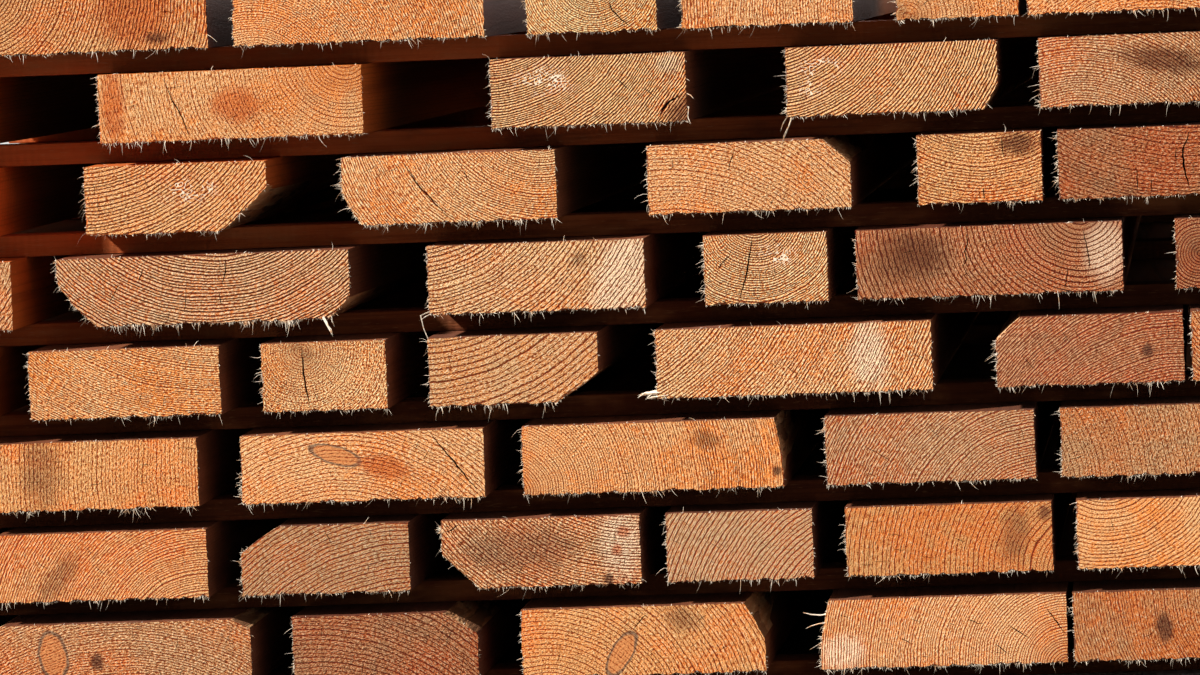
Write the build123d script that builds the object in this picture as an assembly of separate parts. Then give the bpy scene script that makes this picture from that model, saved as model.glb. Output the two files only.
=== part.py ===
"""A stickered stack of rough-sawn softwood boards, air drying.

Eight layers of random-width boards lie on rows of thin sawn stickers, which hold the layers
apart so that air can pass. One row of stickers lies under every layer, the lowest on the ground.
The front end grain faces -Y, +X is to the right of someone who looks at it, and +Z is up.
The origin is on the ground, under the middle of the stack. Lengths are in millimetres.
"""
from build123d import *
from dataclasses import dataclass
from typing import Optional
import os

# Boards
BOARD_LENGTH = 3000.0
BOARD_THICKNESS = 50.0
# A log's radius grows by this much for each millimetre towards the back end
LOG_TAPER = 0.006

# Stickers, the thin strips between the layers
STICKER_THICKNESS = 16.0
STICKER_WIDTH = 45.0
# How far a sticker stands out past the widest layer at each side
STICKER_OVERHANG = 8.0
# From the board ends to the nearest edge of the first sticker
STICKER_SETBACK = 70.0
STICKER_ROWS = ("front", "inner_front", "middle", "inner_back", "back")
# How far hand-laid stickers stray along the boards, dealt out in turn
STICKER_STRAY = (0.0, 6.0, -9.0, 4.0, 11.0, -5.0, 8.0, -12.0)
STRAY_STEP = 3


@dataclass(frozen=True)
class Log:
    """The log that a board was sawn from, at its front end, thin end to the front.

    The pith is given from the lower left corner of the board's section, and often lies outside it.
    """
    pith_from_left: float
    pith_from_bottom: float
    radius: float


@dataclass(frozen=True)
class Board:
    """A board's width, the gap from the board on its left, and the log that leaves it wane."""
    width: float
    gap: float = 0.0
    log: Optional[Log] = None


# The layers from the ground up, and in each the boards from the left
LAYERS = (
    (
        Board(80.0),
        Board(194.0, gap=24.0, log=Log(96.0, -145.0, radius=212.0)),
        Board(135.0, gap=30.0, log=Log(15.0, -120.0, radius=195.0)),
        Board(176.0, gap=31.0, log=Log(17.0, -45.0, radius=173.0)),
        Board(177.0, gap=39.0, log=Log(175.0, -1.0, radius=175.5)),
        Board(164.0, gap=4.0),
    ),
    (
        Board(88.0),
        Board(159.0, gap=22.0, log=Log(156.0, -44.0, radius=177.0)),
        Board(123.0, gap=24.0, log=Log(123.0, -124.0, radius=198.0)),
        Board(144.0, gap=23.0, log=Log(142.0, 149.0, radius=188.0)),
        Board(106.0, gap=18.0),
        Board(148.0, gap=23.0),
        Board(159.0, gap=17.0),
    ),
    (
        Board(82.0),
        Board(161.0, gap=22.0),
        Board(177.0, gap=31.0),
        Board(188.0, gap=27.0, log=Log(-8.0, 3.0, radius=196.0)),
        Board(150.0, gap=30.0),
        Board(168.0, gap=18.0),
    ),
    (
        Board(110.0),
        Board(140.0, gap=34.0),
        Board(91.0, gap=30.0),
        Board(123.0, gap=30.0, log=Log(-5.0, 173.0, radius=198.0)),
        Board(198.0, gap=41.0),
        Board(134.0, gap=45.0, log=Log(131.0, -94.0, radius=183.0)),
        Board(73.0, gap=5.0),
    ),
    (
        Board(135.0),
        Board(213.0, gap=33.0, log=Log(112.0, 100.0, radius=131.0)),
        Board(157.0, gap=56.0),
        Board(89.0, gap=42.0),
        Board(190.0, gap=20.0),
        Board(82.0, gap=37.0),
    ),
    (
        Board(118.0),
        Board(133.0, gap=73.0, log=Log(-4.0, 148.0, radius=180.0)),
        Board(155.0, gap=54.0, log=Log(146.0, 95.0, radius=163.0)),
        Board(146.0, gap=65.0, log=Log(15.0, -102.0, radius=188.0)),
        Board(89.0, gap=47.0),
        Board(163.0, gap=11.0),
    ),
    (
        Board(108.0),
        Board(192.0, gap=96.0),
        Board(141.0, gap=92.0),
        Board(151.0, gap=71.0, log=Log(-14.0, 101.0, radius=184.0)),
        Board(174.0, gap=29.0),
    ),
    (
        Board(84.0),
        Board(182.0, gap=20.0),
        Board(182.0, gap=18.0, log=Log(13.0, -32.0, radius=180.0)),
        Board(94.0, gap=30.0),
        Board(123.0, gap=17.0),
        Board(88.0, gap=30.0),
        Board(181.0, gap=5.0),
    ),
)

LAYER_PITCH = STICKER_THICKNESS + BOARD_THICKNESS


def layer_width(boards):
    """Return the width of a layer, over its boards and gaps."""
    return sum(board.gap + board.width for board in boards)


STACK_WIDTH = max(layer_width(boards) for boards in LAYERS)
STICKER_LENGTH = STACK_WIDTH + 2 * STICKER_OVERHANG


def tapered_log(board):
    """Return the log that a board was sawn from, about the middle of the board's section."""
    pith_x = board.log.pith_from_left - board.width / 2
    pith_z = board.log.pith_from_bottom - BOARD_THICKNESS / 2
    back_radius = board.log.radius + LOG_TAPER * BOARD_LENGTH
    tapered = Cone(board.log.radius, back_radius, BOARD_LENGTH, rotation=(-90, 0, 0))
    return Pos(pith_x, 0, pith_z) * tapered


def sawn_board(board):
    """Return a board about the middle of its section, with the log's round left at its wane."""
    sawn = Box(board.width, BOARD_LENGTH, BOARD_THICKNESS)
    if board.log is None:
        return sawn
    return sawn & tapered_log(board)


def layer_boards(level, boards):
    """Return the boards of a layer, laid from the left edge of the stack on their stickers."""
    centre_z = level * LAYER_PITCH + STICKER_THICKNESS + BOARD_THICKNESS / 2
    left_x = -STACK_WIDTH / 2
    laid = []
    for board in boards:
        left_x += board.gap
        laid.append(Pos(left_x + board.width / 2, 0, centre_z) * sawn_board(board))
        left_x += board.width
    return laid


def sticker_row_y(row):
    """Return where a row of stickers lies along the boards, the rows being evenly spaced."""
    first_y = -BOARD_LENGTH / 2 + STICKER_SETBACK + STICKER_WIDTH / 2
    spacing = -2 * first_y / (len(STICKER_ROWS) - 1)
    return first_y + row * spacing


def sticker_row(row):
    """Return a row's stickers, one under each layer, each a little astray of the one below."""
    stickers = []
    for level in range(len(LAYERS)):
        stray = STICKER_STRAY[(level + row * STRAY_STEP) % len(STICKER_STRAY)]
        centre_z = level * LAYER_PITCH + STICKER_THICKNESS / 2
        strip = Box(STICKER_LENGTH, STICKER_WIDTH, STICKER_THICKNESS)
        stickers.append(Pos(0, sticker_row_y(row) + stray, centre_z) * strip)
    return Compound(children=stickers)


def write_parts():
    """Write every board and every row of stickers to its own file."""
    os.makedirs("parts", exist_ok=True)
    for level, boards in enumerate(LAYERS):
        for number, solid in enumerate(layer_boards(level, boards), start=1):
            export_step(solid, f"parts/layer_{level + 1}_board_{number}.step")
    for row, name in enumerate(STICKER_ROWS):
        export_step(sticker_row(row), f"parts/stickers_{name}.step")


write_parts()
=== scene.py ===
"""A stickered stack of rough-sawn softwood boards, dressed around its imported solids.

Eight layers of boards lie on rows of thin sawn stickers, with the front end grain facing -Y.
Each board gets a rough-sawn mesh with ragged front edges, drying checks that run in from its
ends and torn fibres, and its end grain and side grain follow the rings of one and the same log.
Lengths are in millimetres up to the making of a mesh, and in metres from there on.
"""

import logging
import math
from dataclasses import dataclass, field, replace
from enum import Enum
from typing import Any, Dict, List, Optional, Sequence, Tuple, Union

import bpy
import numpy as np
from mathutils import Matrix, Vector
from mathutils.geometry import delaunay_2d_cdt


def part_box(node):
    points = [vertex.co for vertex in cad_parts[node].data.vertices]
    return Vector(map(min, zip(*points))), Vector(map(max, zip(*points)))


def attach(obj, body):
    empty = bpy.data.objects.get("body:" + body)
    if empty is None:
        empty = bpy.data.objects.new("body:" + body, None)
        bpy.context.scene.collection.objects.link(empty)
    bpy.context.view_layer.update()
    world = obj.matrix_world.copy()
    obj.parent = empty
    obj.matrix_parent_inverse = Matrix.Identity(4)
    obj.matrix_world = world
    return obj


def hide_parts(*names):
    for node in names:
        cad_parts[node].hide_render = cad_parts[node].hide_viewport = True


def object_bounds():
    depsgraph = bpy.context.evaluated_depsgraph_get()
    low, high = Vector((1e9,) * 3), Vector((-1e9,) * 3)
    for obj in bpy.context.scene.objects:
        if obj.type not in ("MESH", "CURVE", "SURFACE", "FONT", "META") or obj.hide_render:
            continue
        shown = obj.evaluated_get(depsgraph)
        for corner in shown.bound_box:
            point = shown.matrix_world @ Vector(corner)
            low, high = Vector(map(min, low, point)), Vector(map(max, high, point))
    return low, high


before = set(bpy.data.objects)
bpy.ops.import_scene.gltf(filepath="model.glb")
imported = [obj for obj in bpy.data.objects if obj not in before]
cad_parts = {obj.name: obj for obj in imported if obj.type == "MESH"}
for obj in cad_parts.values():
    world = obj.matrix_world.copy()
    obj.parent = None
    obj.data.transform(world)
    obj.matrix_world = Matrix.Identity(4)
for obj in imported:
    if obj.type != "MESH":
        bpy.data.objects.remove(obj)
CAD_BOX = [list(corner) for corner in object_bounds()]

LOG = logging.getLogger("lumber")
METRES = 0.001
ORIGIN = (0.0, 0.0, 0.0)
Point = Tuple[float, float]
Colour = Tuple[float, float, float]

# The corner of the stack at its right, back and top
STACK_RIGHT, STACK_BACK, STACK_TOP = (part / METRES for part in CAD_BOX[1])
BOARD_LENGTH = 2 * STACK_BACK

# A log's radius grows by this much for each millimetre towards the back end
LOG_TAPER = 0.006

# No part of a wood's colour is lighter than this
PALEST = 0.98

BAKE_MAP = "OFBake"


# Shader maths

class Value:
    """A shader socket that grows Math nodes as Python works with it."""

    def __init__(self, graph: "Graph", socket: bpy.types.NodeSocket) -> None:
        """Keep the socket and the graph that it belongs to."""
        self.graph = graph
        self.socket = socket

    def __add__(self, other: "Number") -> "Value":
        """Add."""
        return self.graph.math("ADD", self, other)

    __radd__ = __add__

    def __sub__(self, other: "Number") -> "Value":
        """Take the other away."""
        return self.graph.math("SUBTRACT", self, other)

    def __rsub__(self, other: "Number") -> "Value":
        """Take this away from the other."""
        return self.graph.math("SUBTRACT", other, self)

    def __mul__(self, other: "Number") -> "Value":
        """Multiply."""
        return self.graph.math("MULTIPLY", self, other)

    __rmul__ = __mul__

    def __truediv__(self, other: "Number") -> "Value":
        """Divide by the other."""
        return self.graph.math("DIVIDE", self, other)

    def __rtruediv__(self, other: "Number") -> "Value":
        """Divide the other by this."""
        return self.graph.math("DIVIDE", other, self)

    def fraction(self) -> "Value":
        """Keep what is past the whole number."""
        return self.graph.math("FRACT", self)

    def whole(self) -> "Value":
        """Keep the whole number."""
        return self.graph.math("FLOOR", self)

    def sine(self) -> "Value":
        """Take the sine, in radians."""
        return self.graph.math("SINE", self)

    def wave(self, pitch: float) -> "Value":
        """Make waves of a pitch, from 0 to 1."""
        return (self * (2.0 * math.pi / pitch)).sine() * 0.5 + 0.5

    def root(self) -> "Value":
        """Take the square root."""
        return self.graph.math("SQRT", self)

    def at_least(self, other: "Number") -> "Value":
        """Take the larger of the two."""
        return self.graph.math("MAXIMUM", self, other)

    def rise(self, low: float, high: float) -> "Value":
        """Rise smoothly from 0 at low to 1 at high, or fall where low is above high."""
        made = self.graph.node(
            "ShaderNodeMapRange",
            {"interpolation_type": "SMOOTHSTEP"},
            {"Value": self, "From Min": low, "From Max": high},
        )
        return Value(self.graph, made.outputs["Result"])


Number = Union[Value, float]
Plug = Union[Value, bpy.types.NodeSocket, float, Sequence[float]]


class Graph:
    """The nodes of one material or of the world, grown from Python expressions."""

    def __init__(self, name: str, world: Optional[bpy.types.World] = None) -> None:
        """Start an empty material of that name, or empty the world given."""
        self.owner = world or bpy.data.materials.new(name)
        self.owner.use_nodes = True
        self.tree = self.owner.node_tree
        self.tree.nodes.clear()

    def node(
        self,
        kind: str,
        settings: Optional[Dict[str, Any]] = None,
        inputs: Optional[Dict[Union[str, int], Plug]] = None,
    ) -> bpy.types.Node:
        """Add a node.

        Args:
            kind: The node's type.
            settings: Its own settings, which are set first.
            inputs: A value or a link for each socket, by the socket's name or number.

        Returns:
            The node.
        """
        made = self.tree.nodes.new(kind)
        for name, value in (settings or {}).items():
            setattr(made, name, value)
        for key, plug in (inputs or {}).items():
            plug = plug.socket if isinstance(plug, Value) else plug
            if isinstance(plug, bpy.types.NodeSocket):
                self.tree.links.new(plug, made.inputs[key])
            else:
                made.inputs[key].default_value = plug
        return made

    def math(self, operation: str, *values: Number) -> Value:
        """Work out one step on numbers.

        Args:
            operation: The Math node's operation.
            values: Its values, in order.

        Returns:
            The outcome.
        """
        made = self.node("ShaderNodeMath", {"operation": operation}, dict(enumerate(values)))
        return Value(self, made.outputs[0])

    def vector(self, operation: str, *vectors: Plug) -> bpy.types.NodeSocket:
        """Work out one step on vectors.

        Args:
            operation: The Vector Math node's operation.
            vectors: Its vectors, in order.

        Returns:
            The outcome's socket.
        """
        made = self.node("ShaderNodeVectorMath", {"operation": operation}, dict(enumerate(vectors)))
        return made.outputs["Vector"]

    def cloud(self, place: Plug, size: Plug, detail: float, rough: float) -> bpy.types.Node:
        """Add a noise node, which takes the same arguments as noise does."""
        scale = 1.0
        if isinstance(size, float):
            scale = 1.0 / size
        else:
            place = self.vector("DIVIDE", place, size)
        return self.node(
            "ShaderNodeTexNoise",
            {"noise_dimensions": "3D"},
            {"Vector": place, "Scale": scale, "Detail": detail, "Roughness": rough},
        )

    def noise(self, place: Plug, size: Plug, detail: float = 2.0, rough: float = 0.5) -> Value:
        """Lay smooth noise over a place.

        Args:
            place: Where, as a vector in millimetres.
            size: How far apart its lumps are, one number or one for each axis.
            detail: How many finer layers it has.
            rough: How strong the finer layers are.

        Returns:
            The noise, about 0.5.
        """
        return Value(self, self.cloud(place, size, detail, rough).outputs[0])

    def chance(self, number: Value) -> Value:
        """Draw a number from 0 to 1 for each whole number given."""
        made = self.node("ShaderNodeTexWhiteNoise", {"noise_dimensions": "1D"}, {"W": number})
        return Value(self, made.outputs["Value"])

    def paint(self, under: Plug, over: Plug, mask: Number) -> bpy.types.NodeSocket:
        """Lay one colour over another.

        Args:
            under: The colour below.
            over: The colour on top.
            mask: How much of the top one shows.

        Returns:
            The mixed colour's socket.
        """
        made = self.node(
            "ShaderNodeMix",
            {"data_type": "RGBA", "clamp_factor": True},
            {0: mask, 6: rgba(under), 7: rgba(over)},
        )
        return made.outputs[2]

    def coats(self, colour: Plug, *coats: Tuple[Plug, Number]) -> Plug:
        """Lay several colours over one, in order.

        Args:
            colour: The colour below.
            coats: Each colour on top, with how much of it shows.

        Returns:
            The mixed colour's socket.
        """
        for over, mask in coats:
            colour = self.paint(colour, over, mask)
        return colour

    def seen(self) -> Value:
        """Tell the rays that show a thing, straight or mirrored, from those that only light others."""
        rays = self.node("ShaderNodeLightPath").outputs
        straight, mirrored, bent = (
            Value(self, rays[name]) for name in ("Is Camera Ray", "Is Glossy Ray", "Is Transmission Ray")
        )
        return straight.at_least(mirrored).at_least(bent)

    def place(self, corner: Sequence[float]) -> bpy.types.NodeSocket:
        """Give the place on the object in millimetres from a corner.

        Args:
            corner: The corner, in millimetres in the frame.

        Returns:
            The place's vector.
        """
        coordinates = self.node("ShaderNodeTexCoord").outputs["Object"]
        scaled = self.vector("MULTIPLY", coordinates, (1.0 / METRES,) * 3)
        return self.vector("SUBTRACT", scaled, tuple(corner))

    def axes(self, place: bpy.types.NodeSocket) -> Tuple[Value, Value, Value]:
        """Split a place into its three numbers."""
        made = self.node("ShaderNodeSeparateXYZ", {}, {0: place})
        return tuple(Value(self, output) for output in made.outputs)

    def finish(
        self, colour: Plug, rough: Number, height: Value, depth: float, shine: float = 0.2
    ) -> bpy.types.Material:
        """End the material in a shader with relief.

        Args:
            colour: The base colour.
            rough: The roughness.
            height: The relief, about 0 to 1.
            depth: How far the relief goes, in millimetres.
            shine: The specular level.

        Returns:
            The material.
        """
        bump = self.node(
            "ShaderNodeBump", {}, {"Strength": 1.0, "Distance": depth * METRES, "Height": height}
        )
        shader = self.node(
            "ShaderNodeBsdfPrincipled",
            {},
            {
                "Base Color": rgba(colour),
                "Roughness": rough,
                "Normal": bump.outputs[0],
                "Specular IOR Level": shine,
            },
        )
        self.node("ShaderNodeOutputMaterial", {}, {"Surface": shader.outputs[0]})
        return self.owner


def rgba(colour: Plug) -> Plug:
    """Give a written colour its fourth number, and leave a link as it is."""
    return (*colour, 1.0) if isinstance(colour, tuple) else colour


# What the boards look like

@dataclass(frozen=True)
class Palette:
    """The colours of freshly sawn end grain on one kind of board.

    Attributes:
        early: The soft part of a ring.
        warm: The same where it is more orange.
        dry: The same where it has dried out.
        torn: Torn fibre that stands up, paler than the wood, with the highlight that it catches painted in.
        side: The sawn sides.
        late_share: What the hard, dark part of a ring keeps of the colour round it.
        pit_shade_share: What the small hollows keep of it, as painted shade in them.
    """

    early: Colour
    warm: Colour
    dry: Colour
    torn: Colour
    side: Colour
    late_share: Colour = (0.56, 0.30, 0.15)
    # The pits' share is painted shade of the small hollows
    pit_shade_share: Colour = (0.28, 0.085, 0.032)

    def lifted(self, lift: float) -> "Palette":
        """Make the palette of a board that is lighter or darker than its tone.

        Args:
            lift: What its colours are multiplied by.

        Returns:
            The new palette.
        """
        names = ("early", "warm", "dry", "torn", "side")
        changed = {name: tuple(min(PALEST, part * lift) for part in getattr(self, name)) for name in names}
        return replace(self, **changed)


class Tone(Enum):
    """The tones that the boards come in."""

    BRIGHT = Palette(
        (0.84, 0.400, 0.150), (0.88, 0.305, 0.070), (0.85, 0.47, 0.200),
        (0.97, 0.68, 0.40), (0.41, 0.172, 0.058),
    )
    TAN = Palette(
        (0.83, 0.350, 0.108), (0.87, 0.255, 0.050), (0.82, 0.41, 0.150),
        (0.97, 0.60, 0.31), (0.39, 0.155, 0.050),
    )
    STRAW = Palette(
        (0.71, 0.350, 0.140), (0.74, 0.300, 0.092), (0.69, 0.40, 0.180),
        (0.90, 0.66, 0.41), (0.38, 0.165, 0.062),
    )
    GREYED = Palette(
        (0.66, 0.275, 0.098), (0.71, 0.210, 0.048), (0.62, 0.32, 0.140),
        (0.88, 0.60, 0.35), (0.33, 0.133, 0.046),
    )
    DARK = Palette(
        (0.44, 0.143, 0.046), (0.48, 0.110, 0.026), (0.41, 0.18, 0.076),
        (0.70, 0.39, 0.21), (0.26, 0.086, 0.026),
    )


class Mark(Enum):
    """What can mark the end of a board: a colour, its strength, and how soft its edge is."""

    STAIN = ((0.200, 0.080, 0.030), 0.60, 0.60)
    SHADE = ((0.170, 0.056, 0.020), 0.86, 0.60)
    PALE = ((0.960, 0.740, 0.530), 0.80, 0.50)
    GREY = ((0.230, 0.135, 0.075), 0.62, 0.50)
    HEART = ((0.620, 0.145, 0.025), 0.78, 0.40)
    # Pale resin specks, with the glints that they catch painted into their colour
    RESIN_GLINT = ((0.920, 0.790, 0.600), 0.95, 0.60)
    SPOT = ((0.100, 0.040, 0.020), 0.85, 0.45)
    KNOT = ((0.620, 0.230, 0.075), 0.80, 0.22)


@dataclass(frozen=True)
class Patch:
    """A mark of some size on the front end of a board.

    Attributes:
        mark: What it is.
        middle: Its middle, from the end's lower left corner.
        across: Half its length.
        up: Half its height.
        turn: How far it is turned, anticlockwise in degrees.
    """

    mark: Mark
    middle: Point
    across: float
    up: float
    turn: float = 0.0


@dataclass(frozen=True)
class Check:
    """A drying crack in the end of a board.

    Attributes:
        path: The points that it runs through, from the end's lower left corner.
        width: How wide it gapes at its middle.
        depth: How far it runs in from the end.
    """

    path: Tuple[Point, ...]
    width: float = 0.8
    depth: float = 30.0


@dataclass(frozen=True)
class Splinter:
    """A long torn sliver at the edge of a board's front end."""

    path: Tuple[Point, ...]
    radius: float = 0.7


@dataclass(frozen=True)
class Grain:
    """How one board grew, how it was sawn and what marks its front end.

    Attributes:
        pith: The middle of its growth rings, from the lower left corner of its front end.
        ring: How far apart the rings are.
        tone: Its tone.
        round_radius: The log's radius at the front end, where it left wane on the board.
        round_middle: The middle of that round, where it isn't the pith.
        fuzz: How thick its torn fibres stand.
        checks: The drying cracks in its front end.
        patches: The marks on its front end.
        splinters: The long slivers at its front end.
        hairlines: How many fine checks run along its radii.
        figure: How strongly its rings show.
        grit: How rough the saw left its end, which also sets how strong its painted highlights and shade
            are.
        lift: How much lighter or darker it is than its tone.
    """

    pith: Point
    ring: float
    tone: Tone
    round_radius: float = 0.0
    round_middle: Optional[Point] = None
    fuzz: float = 1.0
    checks: Tuple[Check, ...] = ()
    patches: Tuple[Patch, ...] = ()
    splinters: Tuple[Splinter, ...] = ()
    hairlines: int = 3
    figure: float = 0.75
    grit: float = 1.0
    lift: float = 1.0


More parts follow.
